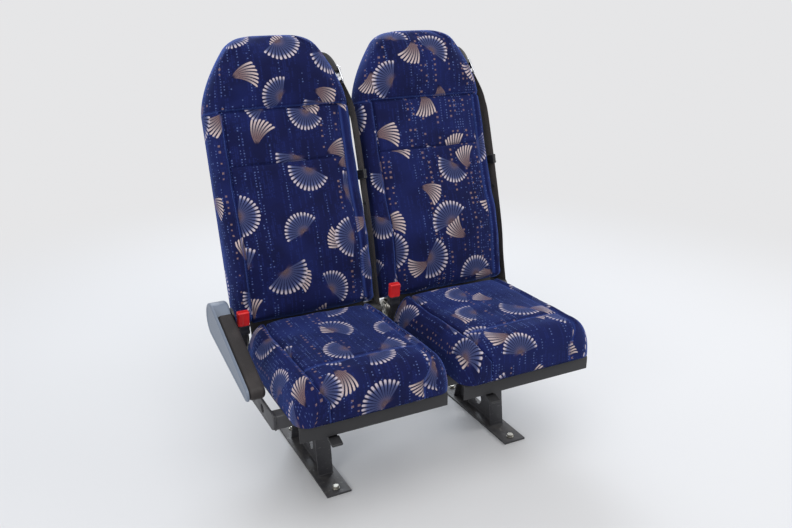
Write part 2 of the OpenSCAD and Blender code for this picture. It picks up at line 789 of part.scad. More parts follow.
// Armrest in its own frame: -y forward along its middle line from the pivot
module armrest_frame() {
    translate([0, arm_pivot_y, arm_pivot_z]) rotate([arm_slope, 0, 0]) children();
}
arm_outline = link([0, 0], arm_rear_r, [-arm_l, 0], arm_tip_r, 14);
pad_start = 42;
module armrest_shell() {
    cap_x = arm_out_face_x + arm_side_t;
    color([0.42, 0.46, 0.52])
    armrest_frame() difference() {
        union() {
            across(arm_out_face_x, cap_x) polygon(arm_outline);
            across(cap_x, arm_in_face_x) difference() {
                polygon(arm_outline);
                translate([-pad_start - 2 * arm_l, -arm_l]) square([2 * arm_l, 2 * arm_l]);
            }
        }
        translate([cap_x, 0, 0]) rotate([0, 90, 0])
            cylinder(d = arm_pin_d + 2 * pin_gap, h = arm_w);
    }
}
module armrest_pad() {
    cap_x = arm_out_face_x + arm_side_t;
    color([0.08, 0.07, 0.07])
    armrest_frame() across(cap_x, arm_in_face_x) difference() {
        polygon(link([0, 0], arm_rear_r - 1, [-arm_l, 0], arm_tip_r - 1, 14));
        translate([-pad_start, -arm_l]) square([2 * arm_l, 2 * arm_l]);
    }
}

pedestal(-bolt_pitch_x / 2);  // pedestal_aisle
pedestal(bolt_pitch_x / 2);  // pedestal_wall
cross_tube(front_tube_y);  // front_tube
cross_tube(rear_tube_y);  // rear_tube
side_plate(aisle_x - plate_mid_x);  // side_plate_aisle_outer
side_plate(aisle_x + plate_mid_x);  // side_plate_aisle_inner
side_plate(window_x - plate_mid_x);  // side_plate_window_inner
side_plate(window_x + plate_mid_x);  // side_plate_window_outer
pan(aisle_x);  // pan_aisle
pan(window_x);  // pan_window
cushion(aisle_x);  // cushion_aisle
cushion(window_x);  // cushion_window
recliner(aisle_x);  // recliner_aisle
recliner(window_x);  // recliner_window
lever(aisle_x - lever_off);  // lever_aisle
lever(window_x - lever_off);  // lever_window
buckle_stalk(aisle_x - buckle_off);  // buckle_stalk_aisle
buckle_stalk(window_x - buckle_off);  // buckle_stalk_window
buckle(aisle_x - buckle_off);  // buckle_aisle
buckle(window_x - buckle_off);  // buckle_window
buckle_button(aisle_x - buckle_off);  // buckle_button_aisle
buckle_button(window_x - buckle_off);  // buckle_button_window
armrest_bracket();
back_frame(aisle_x);  // back_frame_aisle
back_shell(aisle_x);  // back_shell_aisle
back_pad(aisle_x);  // back_pad_aisle
pocket(aisle_x);  // pocket_aisle
belt_bracket(aisle_x);  // belt_bracket_aisle
belt_ring(aisle_x);  // belt_ring_aisle
webbing(aisle_x);  // webbing_aisle
belt_tongue(aisle_x);  // belt_tongue_aisle
belt_cover(aisle_x);  // belt_cover_aisle
back_frame(window_x);  // back_frame_window
back_shell(window_x);  // back_shell_window
back_pad(window_x);  // back_pad_window
pocket(window_x);  // pocket_window
belt_bracket(window_x);  // belt_bracket_window
belt_ring(window_x);  // belt_ring_window
webbing(window_x);  // webbing_window
belt_tongue(window_x);  // belt_tongue_window
belt_cover(window_x);  // belt_cover_window
armrest_shell();
armrest_pad();
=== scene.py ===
import json
import math

import bmesh
import bpy
import numpy as np
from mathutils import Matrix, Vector


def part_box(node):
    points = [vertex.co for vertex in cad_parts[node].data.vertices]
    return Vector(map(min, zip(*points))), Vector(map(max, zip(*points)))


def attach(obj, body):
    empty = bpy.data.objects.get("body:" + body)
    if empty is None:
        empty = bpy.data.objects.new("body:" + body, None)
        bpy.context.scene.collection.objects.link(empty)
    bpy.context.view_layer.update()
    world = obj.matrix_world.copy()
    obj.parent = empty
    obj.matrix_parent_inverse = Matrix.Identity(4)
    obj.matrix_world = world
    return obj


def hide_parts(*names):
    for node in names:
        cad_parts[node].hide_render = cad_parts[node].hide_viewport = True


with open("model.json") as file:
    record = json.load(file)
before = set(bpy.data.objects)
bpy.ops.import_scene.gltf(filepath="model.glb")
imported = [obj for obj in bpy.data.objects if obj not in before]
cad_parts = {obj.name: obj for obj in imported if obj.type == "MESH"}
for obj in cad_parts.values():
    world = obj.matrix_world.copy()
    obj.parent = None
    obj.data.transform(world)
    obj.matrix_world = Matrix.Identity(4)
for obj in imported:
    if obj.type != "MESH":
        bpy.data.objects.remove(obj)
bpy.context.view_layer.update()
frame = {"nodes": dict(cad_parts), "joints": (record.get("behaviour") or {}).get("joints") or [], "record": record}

# Sizes in metres, as in the frame
MM = 0.001
LEAN = math.radians(17)
HINGE = {joint["child"]: np.array(joint["pos_m"]) for joint in frame["joints"]}
SEATS = {"aisle": HINGE["back_aisle"][0], "window": HINGE["back_window"][0]}
HINGE_Y, HINGE_Z = HINGE["back_aisle"][1:]
ACROSS = np.array([1.0, 0.0, 0.0])
ALONG_DEPTH = np.array([0.0, 1.0, 0.0])
UP = np.array([0.0, 0.0, 1.0])
# Points nearer than this are one, and an edge that turns more than this is sharp
SAME_POINT = 2e-6
SHARP_FROM = math.radians(40)
# Sines in a soft ripple, and one turn as its seeded directions and phases take it
RIPPLE_SINES = 9
RIPPLE_TURN = 6.28


# Points, outlines and grids

def ease(t):
    """Eased step: 3 t squared minus 2 t cubed, held between 0 and 1."""
    t = np.clip(t, 0, 1)
    return t * t * (3 - 2 * t)


def bell(t):
    """Bell of height 1: e to the minus t squared."""
    return np.exp(-np.square(t))


def ripple(a, b, seed, wave):
    """Soft unevenness from -1 to 1: a mean of sines over (a, b), with seeded directions and phases."""
    random = np.random.default_rng(seed)
    total = 0
    for turn, phase, scale in random.random((RIPPLE_SINES, 3)) * (RIPPLE_TURN, RIPPLE_TURN, 1.0):
        k = 2 * math.pi / (wave * (0.6 + 0.9 * scale))
        total = total + np.sin(k * (a * math.cos(turn) + b * math.sin(turn)) + phase)
    return total / math.sqrt(RIPPLE_SINES)


def arc(centre, radius, start, stop, count):
    """Points at angle t from start to stop in degrees: centre plus radius times (cos t, sin t)."""
    t = np.radians(np.linspace(start, stop, count))
    return np.asarray(centre) + radius * np.stack([np.cos(t), np.sin(t)], -1)


def link(p, r, q, s, count=20):
    """Outline of two circles and their outer tangents: radius r around p, radius s around q."""
    p, q = np.asarray(p, float), np.asarray(q, float)
    d = q - p
    a = math.degrees(math.atan2(d[1], d[0]))
    b = math.degrees(math.acos((r - s) / np.linalg.norm(d)))
    return np.concatenate([arc(q, s, a - b, a + b, count), arc(p, r, a + b, a + 360 - b, count)])


def rounded_box(width, height, radius, count=6):
    """Outline of a rectangle around 0 with quarter circles at its corners."""
    x, y = width / 2 - radius, height / 2 - radius
    corners = [(x, y, 0), (-x, y, 90), (-x, -y, 180), (x, -y, 270)]
    return np.concatenate([arc((u, v), radius, turn, turn + 90, count) for u, v, turn in corners])


def in_back(points, seat):
    """Turns (across, depth, along) of a leaning back into the frame: a turn by the lean about its hinge."""
    across, depth, along = np.moveaxis(points, -1, 0)
    y = HINGE_Y + depth * math.cos(LEAN) + along * math.sin(LEAN)
    z = HINGE_Z - depth * math.sin(LEAN) + along * math.cos(LEAN)
    return np.stack([SEATS[seat] + across, y, z], -1)


def grid_faces(rows, columns, round_rows=False, round_columns=True):
    """Quads of a grid of points, closed on itself across its rows or columns where asked."""
    i = np.arange(rows if round_rows else rows - 1)[:, None]
    j = np.arange(columns if round_columns else columns - 1)[None, :]
    i2, j2 = (i + 1) % rows, (j + 1) % columns
    corners = [i * columns + j, i * columns + j2, i2 * columns + j2, i2 * columns + j]
    return np.stack(np.broadcast_arrays(*corners), -1).reshape(-1, 4)


def linked(name, data):
    """An object of the scene around its data."""
    thing = bpy.data.objects.new(name, data)
    bpy.context.scene.collection.objects.link(thing)
    return thing


def new_piece(name, points, faces, uv=None, seam=None, closed=True):
    """Makes a mesh of points and quads. uv and seam are maps in metres for each corner of each face: the
    place on the cloth, and the distance from the nearest seam with the place along it."""
    mesh = bpy.data.meshes.new(name)
    mesh.from_pydata(points.reshape(-1, 3).tolist(), [], faces.tolist())
    for map_name, corners in (("UVMap", uv), ("Seam", seam)):
        if corners is not None:
            layer = mesh.uv_layers.new(name=map_name)
            layer.data.foreach_set("uv", corners.astype(np.float32).ravel())
    work = bmesh.new()
    work.from_mesh(mesh)
    bmesh.ops.remove_doubles(work, verts=work.verts, dist=SAME_POINT)
    if closed:
        bmesh.ops.recalc_face_normals(work, faces=work.faces)
    work.to_mesh(mesh)
    work.free()
    mesh.polygons.foreach_set("use_smooth", np.ones(len(mesh.polygons), bool))
    mesh.set_sharp_from_angle(angle=SHARP_FROM)
    return linked(name, mesh)


def joined(name, grids, body, slot):
    """One finished piece of several closed grids, each round across its columns."""
    faces, points, start = [], [], 0
    for grid in grids:
        faces.append(grid_faces(*grid.shape[:2]) + start)
        points.append(grid.reshape(-1, 3))
        start += len(points[-1])
    return finished(new_piece(name, np.concatenate(points), np.concatenate(faces)), body, slot)


def middle_x(node):
    """The place across of a node's middle."""
    low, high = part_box(node)
    return (low.x + high.x) / 2


def finished(piece, body, slot, *nodes):
    """Gives a piece its slot and the slot's finish, the body it rides on and the nodes it stands for."""
    piece.data.materials.clear()
    piece.data.materials.append(FINISHES[slot])
    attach(piece, body)
    if nodes:
        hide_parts(*nodes)
    return piece


def grid_piece(name, grid, body, slot, *nodes, uv=None, round_rows=False):
    """A finished piece of one grid, round across its columns. uv is in metres for each point."""
    faces = grid_faces(*grid.shape[:2], round_rows=round_rows)
    corners = None if uv is None else uv.reshape(-1, 2)[faces]
    return finished(new_piece(name, grid, faces, corners), body, slot, *nodes)


def placed_piece(name, points, place, body, slot, *nodes):
    """A finished piece of a grid of (a, b, level), set in the frame by place(a, b, level)."""
    grid = np.stack(np.broadcast_arrays(*place(*np.moveaxis(points, -1, 0))), -1)
    return grid_piece(name, grid, body, slot, *nodes)


def on_back(seat, name, grid, slot, *nodes, **extras):
    """A finished piece that rides on a seat's back, from a grid of (across, depth, along) of that back."""
    return grid_piece(f"{name}_{seat}", in_back(grid, seat), f"back_{seat}", slot,
                      *(f"{node}_{seat}" for node in nodes), **extras)


def outward(outline):
    """Unit normals of a closed outline that runs anticlockwise, from its neighbours' difference."""
    along = np.roll(outline, -1, 0) - np.roll(outline, 1, 0)
    along /= np.maximum(np.linalg.norm(along, axis=1, keepdims=True), 1e-9)
    return np.stack([along[:, 1], -along[:, 0]], -1)


def filled(outline, step):
    """The same closed outline, with points added along it about every step."""
    around = np.concatenate([outline, outline[:1]])
    run = run_length(around, 0)
    even = np.linspace(0, run[-1], int(run[-1] / step), endpoint=False)
    places = np.unique(np.round(np.concatenate([run[:-1], even]), 6))
    return np.column_stack([np.interp(places, run, around[:, k]) for k in (0, 1)])


def matched(outline, count):
    """A closed outline with count points, read between its own at even steps of their numbers."""
    around = np.concatenate([outline, outline[:1]])
    places = np.linspace(0, len(outline), count, endpoint=False)
    return np.column_stack([np.interp(places, np.arange(len(around)), around[:, k]) for k in (0, 1)])


def stacked(rows):
    """A grid from rows of an outline and its level."""
    return np.stack([np.column_stack([flat, np.full(len(flat), level)]) for flat, level in rows])


def capped(rows):
    """A grid of rings with both ends closed to their middle."""
    first, last = [np.broadcast_to(row.mean(0), row.shape)[None] for row in (rows[0], rows[-1])]
    return np.concatenate([first, rows, last])


def slab(outline, low, high, edge, crown=0.0, steps=5, rings=5):
    """A block on an outline: each face is drawn in by a quarter circle of radius edge, and closes to its
    middle, the upper one on a dome: crown times (1 - share squared). Gives the grid of (a, b, level)."""
    middle = outline.mean(0)
    normals = outward(outline)
    face = outline - normals * edge
    rows = []
    for level, side, rise in ((low, -1, 0.0), (high, 1, crown)):
        part = [(middle + (face - middle) * share, level + side * rise * (1 - share * share))
                for share in np.arange(rings) / rings]
        part += [(outline - normals * edge * (1 - math.sin(t)), level - side * edge * (1 - math.cos(t)))
                 for t in np.linspace(0, math.pi / 2, steps)]
        rows += part if side < 0 else part[::-1]
    return stacked(rows)


def hex_outline(size):
    """Outline of a hexagon, size across its flats, each corner an arc of a small share of the reach."""
    reach, soft = size / math.sqrt(3), 0.06
    middle = reach * (1 - soft)
    return np.concatenate([arc((middle * math.cos(t), middle * math.sin(t)), reach * soft,
                               math.degrees(t) - 30, math.degrees(t) + 30, 6)
                           for t in np.radians(np.arange(0, 360, 60))])


def socket_screw(radius, high):
    """A button-head screw: a disc whose top falls to its edge as a quarter circle, with a hexagon
    socket."""
    rim = arc((0, 0), 1.0, -25, 325, 36)
    socket = hex_outline(radius * 0.95)
    rows = [(rim * 0.0, -high), (rim * radius, -high)]
    rows += [(rim * radius * (0.72 + 0.28 * math.cos(t)), high * math.sin(t))
             for t in np.linspace(0, math.pi / 2, 6)]
    rows += [(socket, high), (socket * 0.96, high - 0.1 * MM), (socket * 0.96, high * 0.3),
             (socket * 0.0, high * 0.2)]
    return stacked(rows)


def weld_bead(path, radius, wide, closed=False):
    """A weld bead: a circle carried along a path, its radius rippled by the absolute sine of the way."""
    run = run_length(path, 0)
    rows = carried(path, arc((0, 0), radius, 0, 330, 12), wide, closed)
    size = 0.82 + 0.18 * np.abs(np.sin(run * math.pi / (1.15 * radius)))
    centre = path[:, None]
    inner = slice(None) if closed else slice(1, -1)
    rows[inner] = centre + (rows[inner] - centre) * size[:, None, None]
    return rows


def run_length(points, axis):
    """Length along a grid's rows or columns, from the first point."""
    step = np.linalg.norm(np.diff(points, axis=axis), axis=-1)
    start = np.zeros_like(np.take(step, [0], axis=axis))
    return np.concatenate([start, np.cumsum(step, axis=axis)], axis=axis)


def smooth_path(points, step):
    """A rounded path through points: a Catmull-Rom curve, sampled about every step."""
    p = np.asarray(points, float)
    p = np.concatenate([[2 * p[0] - p[1]], p, [2 * p[-1] - p[-2]]])
    pieces = []
    for a, b, c, d in zip(p[:-3], p[1:-2], p[2:-1], p[3:]):
        count = max(2, int(np.linalg.norm(c - b) / step) + 1)
        t = np.linspace(0, 1, count, endpoint=False)[:, None]
        pieces.append(0.5 * (2 * b + (c - a) * t + (2 * a - 5 * b + 4 * c - d) * t ** 2
                             + (3 * b - a - 3 * c + d) * t ** 3))
    return np.concatenate(pieces + [p[-2][None]])


def carried(path, section, wide, closed=False):
    """A section (a, b) carried along a path: a goes along the fixed direction wide, and b along the
    cross product of the path's direction and wide. Open ends close to their middle. Gives the grid."""
    run = np.roll(path, -1, 0) - np.roll(path, 1, 0) if closed else np.gradient(path, axis=0)
    wide = np.broadcast_to(wide, path.shape)
    thick = np.cross(run, wide)
    thick /= np.linalg.norm(thick, axis=1, keepdims=True)
    rows = path[:, None] + section[None, :, :1] * wide[:, None] + section[None, :, 1:] * thick[:, None]
    return rows if closed else capped(rows)


def waved_strap(name, node, route, step, section, wave, *nodes):
    """A section carried along a route of (depth, height) in the middle of a node. wave(run, end) scales its
    width and its thickness, from the way along it and the way to its nearer end."""
    path = smooth_path(np.column_stack([np.full(len(route), middle_x(node)), route]), step)
    rows = carried(path, section, ACROSS)
    run = run_length(path, 0)
    wide, thick = wave(run, np.minimum(run, run[-1] - run))
    side = rows[1:-1] - path[:, None]
    along_x = side * ACROSS
    rows[1:-1] = path[:, None] + along_x * wide[:, None, None] + (side - along_x) * thick[:, None, None]
    return grid_piece(name, rows, "base", "black_trim", *nodes)


# Shader wiring

class Signal:
    """One output socket. Arithmetic on it adds Math nodes, so that 1 - mask is an expression."""

    def __init__(self, finish, socket):
        self.finish = finish
        self.socket = socket

    def __add__(self, other):
        return self.finish.math("ADD", self, other)

    def __radd__(self, other):
        return self.finish.math("ADD", other, self)

    def __sub__(self, other):
        return self.finish.math("SUBTRACT", self, other)

    def __rsub__(self, other):
        return self.finish.math("SUBTRACT", other, self)

    def __mul__(self, other):
        return self.finish.math("MULTIPLY", self, other)

    def __rmul__(self, other):
        return self.finish.math("MULTIPLY", other, self)

    def __truediv__(self, other):
        return self.finish.math("DIVIDE", self, other)

    def __abs__(self):
        return self.finish.math("ABSOLUTE", self)


class Finish:
    """A material being wired, with one Principled shader at its end."""

    def __init__(self, name, **constants):
        self.material = bpy.data.materials.new(name)
        self.material.use_nodes = True
        self.tree = self.material.node_tree
        self.tree.nodes.clear()
        self.shader = self.tree.nodes.new("ShaderNodeBsdfPrincipled")
        self.output = self.tree.nodes.new("ShaderNodeOutputMaterial")
        self.tree.links.new(self.shader.outputs[0], self.output.inputs["Surface"])
        for socket, value in constants.items():
            self.shader.inputs[socket.replace("_", " ")].default_value = value

    def node(self, kind, settings=None, inputs=None, output=0):
        """Adds a node: first its settings, then the values or links of its sockets. Gives one output."""
        made = self.tree.nodes.new(kind)
        for key, value in (settings or {}).items():
            setattr(made, key, value)
        for key, value in (inputs or {}).items():
            self.feed(made.inputs[key], value)
        return Signal(self, made.outputs[output])

    def feed(self, socket, value):
        """Links a signal to a socket, or sets its value."""
        if isinstance(value, Signal):
            self.tree.links.new(value.socket, socket)
        else:
            socket.default_value = value

    def math(self, operation, *values):
        """A Math node on values and signals."""
        return self.node("ShaderNodeMath", {"operation": operation}, dict(enumerate(values)))

    def mix(self, share, a, b, blend="MIX"):
        """Mixes two colours by a share from 0 to 1."""
        settings = {"data_type": "RGBA", "blend_type": blend}
        return self.node("ShaderNodeMix", settings, {0: share, 6: a, 7: b}, 2)

    def vector(self, x, y, z):
        """Joins three numbers to a vector."""
        return self.node("ShaderNodeCombineXYZ", None, {0: x, 1: y, 2: z})

    def parts(self, vector):
        """The three numbers of a vector."""
        made = self.node("ShaderNodeSeparateXYZ", None, {0: vector})
        return [Signal(self, socket) for socket in made.socket.node.outputs]

    def step(self, value, low, high):
        """Smooth step from 0 at low to 1 at high."""
        settings = {"interpolation_type": "SMOOTHSTEP", "clamp": True}
        return self.node("ShaderNodeMapRange", settings, {0: value, 1: low, 2: high, 3: 0.0, 4: 1.0})

    def place(self, source="Object"):
        """Object coordinates or the piece's own UV map."""
        return self.node("ShaderNodeTexCoord", output=source)

    def noise(self, place, scale, detail=3.0, rough=0.5):
        """Noise from 0 to 1, with scale in waves per metre."""
        inputs = {"Vector": place, "Scale": scale, "Detail": detail, "Roughness": rough}
        return self.node("ShaderNodeTexNoise", None, inputs)

    def cells(self, place, scale, feature):
        """A grain of cells, with scale in cells per metre."""
        return self.node("ShaderNodeTexVoronoi", {"feature": feature}, {"Vector": place, "Scale": scale})

    def streaks(self, place, scale):
        """Noise from 0 to 1, with waves per metre of its own along each axis."""
        drawn = self.node("ShaderNodeMapping", {"vector_type": "POINT"}, {"Vector": place, "Scale": scale})
        return self.noise(drawn, 1.0, 4.0)

    def wave(self, value, length):
        """A sine from 0 to 1 that repeats every length."""
        return self.math("SINE", value * (2 * math.pi / length)) * 0.5 + 0.5

    def bump(self, height, distance, strength):
        """Height in units of distance, in metres, as a normal."""
        self.feed(self.shader.inputs["Normal"], self.node(
            "ShaderNodeBump", None, {"Height": height, "Distance": distance, "Strength": strength}))

    def done(self, **signals):
        """Links the last signals to the shader's sockets and gives the material."""
        for socket, value in signals.items():
            self.feed(self.shader.inputs[socket.replace("_", " ")], value)
        return self.material


def colour(red, green, blue):
    """A colour written as it looks, from 0 to 255, as the linear numbers of a socket."""
    return tuple((c / 255 / 12.92) if c < 10.5 else ((c / 255 + 0.055) / 1.055) ** 2.4
                 for c in (red, green, blue)) + (1.0,)


# Finishes of this seat

NAVY = colour(17, 23, 72)
NAVY_DEEP = colour(12, 16, 56)
NAVY_LIGHT = colour(36, 50, 116)
# Pale blue of the painted highlight on the fold beside each seam
FOLD_HIGHLIGHT_SHADE = colour(72, 96, 176)
CREAM = colour(214, 199, 194)
LILAC = colour(212, 202, 207)
TAN = colour(158, 128, 122)
ICE = colour(122, 146, 208)
RIB_BLUE = colour(94, 104, 150)
PILE_DARK = colour(8, 10, 40)
PILE_LIGHT = colour(60, 74, 140)
YARN = 1.1 * MM
RIB_PITCH = 2.3 * MM
STITCH_OFF = 5.5 * MM
STITCH_LONG = 4.2 * MM
FOLD_LIGHT = 2.2 * MM
LADDER_WIDE = 6.2 * MM
LADDER_RUNG = 3.6 * MM
CORD_PITCH = 1.9 * MM
WEFT_PITCH = 1.7 * MM


def noise_at(f, x, y, seed, output):
    """White noise for each whole x and y, as a colour or a value."""
    return f.node("ShaderNodeTexWhiteNoise", {"noise_dimensions": "3D"},
                  {"Vector": f.vector(x, y, float(seed))}, output)


def pick_at(f, x, y, seed):
    """One random number for each whole x and y."""
    return noise_at(f, x, y, seed + 40.5, "Value")


def picks_at(f, x, y, seed):
    """Four random numbers for each whole x and y, the last as pick_at gives it."""
    return f.parts(noise_at(f, x, y, seed, "Color")) + [pick_at(f, x, y, seed)]


def fan_layer(f, u, v, cell, turned, seed, chance, pleat, spread, curl, inner):
    """Pleated fans, one in each square cell that chance picks: a sector with a heading, size and place of
    its own, cut into tapered pleats with round ends. The cells are turned against the cloth, and curl bends
    the pleats. Gives the masks of the pleats and the sector, the share of the reach, and a glow around the
    pivot."""
    c, s = math.cos(turned) / cell, math.sin(turned) / cell
    cu = u * c - v * s + seed * 7.3
    cv = u * s + v * c + seed * 3.1
    iu, iv = f.math("FLOOR", cu), f.math("FLOOR", cv)
    heading, size, drift, chosen = picks_at(f, iu, iv, seed)
    heading = heading * 6.283
    reach = 0.40 + size * 0.09
    # The pivot lies behind the middle of the cell, so that the whole fan stays in it
    back = reach * (0.30 + drift * 0.22)
    x = cu - iu - 0.5 + f.math("COSINE", heading) * back
    y = cv - iv - 0.5 + f.math("SINE", heading) * back
    share = f.math("SQRT", x * x + y * y) / reach
    angle = f.math("WRAP", f.math("ARCTAN2", y, x) - heading + (share - 0.5) * curl, math.pi, -math.pi)
    k = angle * (1 / pleat)
    side = abs(k - f.math("ROUND", k)) * 2
    tips = 1 - side * side * 0.09 - abs(angle) * 0.05
    beyond = abs(angle) - spread
    here = f.math("LESS_THAN", chosen, chance)
    sector = (1 - f.step(share - tips, -0.015, 0.02)) * (1 - f.step(beyond, -0.02, 0.02)) * here
    width = 0.86 - f.step(share, 0.4, 0.92) * 0.27
    mask = sector * f.step(share, inner, inner + 0.16) * (1 - f.step(side - width, -0.2, 0.1))
    glow = (1 - f.step(share, 0.0, 0.44)) * (1 - f.step(beyond, -0.3, 0.7)) * (1 - side * 0.55) * here
    return mask, sector, share, glow


def dot_layer(f, u, v, wide, tall, seed, columns, chance, size):
    """Small square dots on a grid of cells, each moved a little and sized by its own numbers, in the
    columns and rows that chance picks. Gives their mask."""
    cu, cv = u * (1 / wide), v * (1 / tall)
    iu, iv = f.math("FLOOR", cu), f.math("FLOOR", cv)
    column = pick_at(f, iu, 0.0, seed + 20)
    stretch = pick_at(f, iu, f.math("FLOOR", cv * 0.2), seed + 30)
    shift, big, _, picked = picks_at(f, iu, iv, seed)
    half = size * (0.72 + big * 0.5)
    x = abs((cu - iu - 0.5) * wide + (shift - 0.5) * size * 0.5)
    y = abs((cv - iv - 0.5) * tall)
    mask = 1 - f.step(f.math("MAXIMUM", x, y * 1.15) - half, -0.4 * MM, 0.4 * MM)
    here = f.math("LESS_THAN", column, columns) * f.math("LESS_THAN", picked, chance + stretch * 0.45)
    return mask * here


# Dots of the fabric: shade, strength, and what dot_layer takes
DOTS = (
    (TAN, 0.72, {"wide": 17.3 * MM, "tall": 16.6 * MM, "seed": 2, "columns": 0.24, "chance": 0.38,
                 "size": 3.2 * MM}),
    (ICE, 0.55, {"wide": 9.8 * MM, "tall": 8.3 * MM, "seed": 6, "columns": 0.42, "chance": 0.30,
                 "size": 1.7 * MM}),
)
# Fans of the fabric: shades of the root and tip, where one turns into the other, least strength, strength
# of the glow, and what fan_layer takes
FANS = (
    (TAN, CREAM, (0.3, 0.95), 0.62, 0.0,
     {"cell": 0.176, "turned": -0.52, "seed": 3, "chance": 0.78, "pleat": 0.15, "spread": 0.525,
      "curl": 0.45, "inner": 0.08}),
    (RIB_BLUE, LILAC, (0.73, 0.90), 0.46, 1.5,
     {"cell": 0.152, "turned": 0.35, "seed": 1, "chance": 0.78, "pleat": 0.192, "spread": 1.44,
      "curl": 0.0, "inner": 0.1}),
)


def moquette():
    """Cut-pile seat fabric: navy pile in fine ribs, scattered pleated fans in cream and pale blue, and
    columns of small dots. The pattern lies on the piece's own UV map, snapped to the yarns."""
    f = Finish("moquette", Roughness=0.9, Sheen_Weight=0.72, Sheen_Roughness=0.32,
               Sheen_Tint=colour(112, 148, 255), Specular_IOR_Level=0.18)
    uv = f.place("UV")
    fine_u, fine_v, _ = f.parts(uv)
    u = f.math("SNAP", fine_u, YARN)
    v = f.math("SNAP", fine_v, YARN)
    soft = f.noise(uv, 14.0, 2.0)
    nap = f.noise(uv, 420.0, 2.0, 0.7)
    rib = f.wave(fine_u, RIB_PITCH)
    # Broad patches where the pile has been brushed the other way, painted paler: a painted sheen on real pile
    # direction
    brushed_sheen = f.step(f.noise(uv, 5.5, 2.0, 0.4), 0.47, 0.62)
    ground = f.mix(f.step(soft, 0.3, 0.7) * 0.8 + 0.2 * brushed_sheen, NAVY_DEEP, NAVY)
    ground = f.mix(brushed_sheen * 0.22, ground, NAVY_LIGHT)
    ground = f.mix(rib * 0.3 * nap, ground, NAVY_LIGHT)
    # Dots stand in columns: a column and a dot are each picked by their own number
    height = nap * 0.35 + rib * 0.25
    for shade, strength, dots in DOTS:
        dot = dot_layer(f, u, v, **dots)
        ground = f.mix(dot * strength * (0.7 + nap * 0.5), ground, shade)
        height = height + dot * 0.2
    # Fine ladders of lighter pile between the dots
    lu, lv = u * (1 / LADDER_WIDE), v * (1 / LADDER_RUNG)
    iu = f.math("FLOOR", lu)
    rung = pick_at(f, iu, f.math("FLOOR", lv), 5)
    stretch = pick_at(f, iu, f.math("FLOOR", lv * 0.09), 8)
    bar = f.math("MAXIMUM", abs(lu - iu - 0.5) * 0.9, abs(f.math("FRACT", lv) - 0.5))
    ladder = (1 - f.step(bar, 0.26, 0.36)) * f.math("GREATER_THAN", stretch, 0.62) * f.step(rung, 0.15, 0.5)
    ground = f.mix(ladder * 0.5, ground, NAVY_LIGHT)
    weave = 0.78 + nap * 0.4
    for root, tip, turn_at, least, glowing, fans in FANS:
        mask, sector, share, glow = fan_layer(f, u, v, **fans)
        ground = f.mix(sector, ground, NAVY_DEEP)
        pleat = f.mix(f.step(share, *turn_at), root, tip)
        strong = mask * (least + (0.98 - least) * f.step(share, 0.55, 0.86)) * weave
        ground = f.mix(f.math("MINIMUM", strong, 1.0), ground, pleat)
        if glowing:
            ground = f.mix(glow * (nap - 0.12) * glowing, ground, TAN)
        height = height + mask * 0.25
    ground = f.mix(0.2, ground, f.mix(nap, PILE_DARK, PILE_LIGHT), "OVERLAY")
    # Top stitching: dashes of thread on a line beside each seam, and a painted highlight in pale blue on the fold
    # before it
    off, run, _ = f.parts(f.node("ShaderNodeUVMap", {"uv_map": "Seam"}))
    fold_highlight = 1 - f.step(abs(off - FOLD_LIGHT), 1.0 * MM, 2.6 * MM)
    ground = f.mix(fold_highlight * 0.33, ground, FOLD_HIGHLIGHT_SHADE)
    line = 1 - f.step(abs(off - STITCH_OFF), 0.35 * MM, 0.7 * MM)
    thread = line * (1 - f.step(abs(f.math("FRACT", run * (1 / STITCH_LONG)) - 0.5), 0.30, 0.40))
    ground = f.mix(thread * 0.75, ground, NAVY_LIGHT)
    height = height - line * 0.7 + thread * 1.1
    f.bump(height, 0.7 * MM, 0.8)
    return f.done(Base_Color=ground)


def tinted(shade, times, plus=0.0):
    """A shade with each of its numbers multiplied and raised, up to white."""
    return tuple(min(1.0, c * times + plus) for c in shade[:3]) + (1.0,)


def grained_plastic(name, shade, rough, grain=0.25):
    """Moulded plastic: a leathery grain under a satin surface, paler where hands and bags rub it."""
    f = Finish(name)
    place = f.place()
    cells = f.cells(place, 900.0, "SMOOTH_F1")
    broad = f.noise(place, 9.0, 4.0)
    rub = f.step(broad, 0.5, 0.75) * f.step(f.noise(place, 160.0, 3.0, 0.7), 0.4, 0.8) * 0.5
    f.bump(cells, grain * MM, 0.5)
    return f.done(Base_Color=f.mix(rub, shade, tinted(shade, 1.5, 0.02)),
                  Roughness=rough + rub * 0.16 - broad * 0.06)


def powder_coat(name, shade, rough=0.44):
    """Powder-coated steel: orange peel, dust that lies on faces that look up, and pale scuffs from shoes
    that fade with height."""
    f = Finish(name, Coat_Roughness=0.35)
    place = f.place()
    _, _, height = f.parts(place)
    scuff = f.step(f.streaks(place, (60.0, 60.0, 260.0)), 0.6, 0.72)
    scuff = scuff * (1 - f.step(height, 0.02, 0.24)) * 0.45
    peel = f.noise(place, 700.0, 2.0)
    dirt = f.noise(place, 26.0, 5.0, 0.65)
    _, _, up = f.parts(f.node("ShaderNodeNewGeometry", output="Normal"))
    dust = f.step(up, 0.5, 1.0) * f.step(dirt, 0.35, 0.75) * 0.35
    f.bump(peel, 0.12 * MM, 0.35)
    worn = f.mix(scuff, f.mix(dust, shade, colour(120, 116, 110)), colour(128, 126, 124))
    return f.done(Base_Color=worn, Roughness=rough + dust * 0.4 + dirt * 0.08)


def bright_metal(name, shade, rough, fold_highlight):
    """Plated steel: fine rubbing marks that break the reflection, rubbed waves per metre on each axis."""
    f = Finish(name, Metallic=1.0)
    place = f.place()
    marks = f.streaks(place, fold_highlight)
    haze = f.noise(place, 60.0, 3.0)
    f.bump(marks, 0.02 * MM, 0.4)
    return f.done(Base_Color=f.mix(f.step(haze, 0.45, 0.8), shade, tinted(shade, 0.72)),
                  Roughness=rough + haze * 0.12)


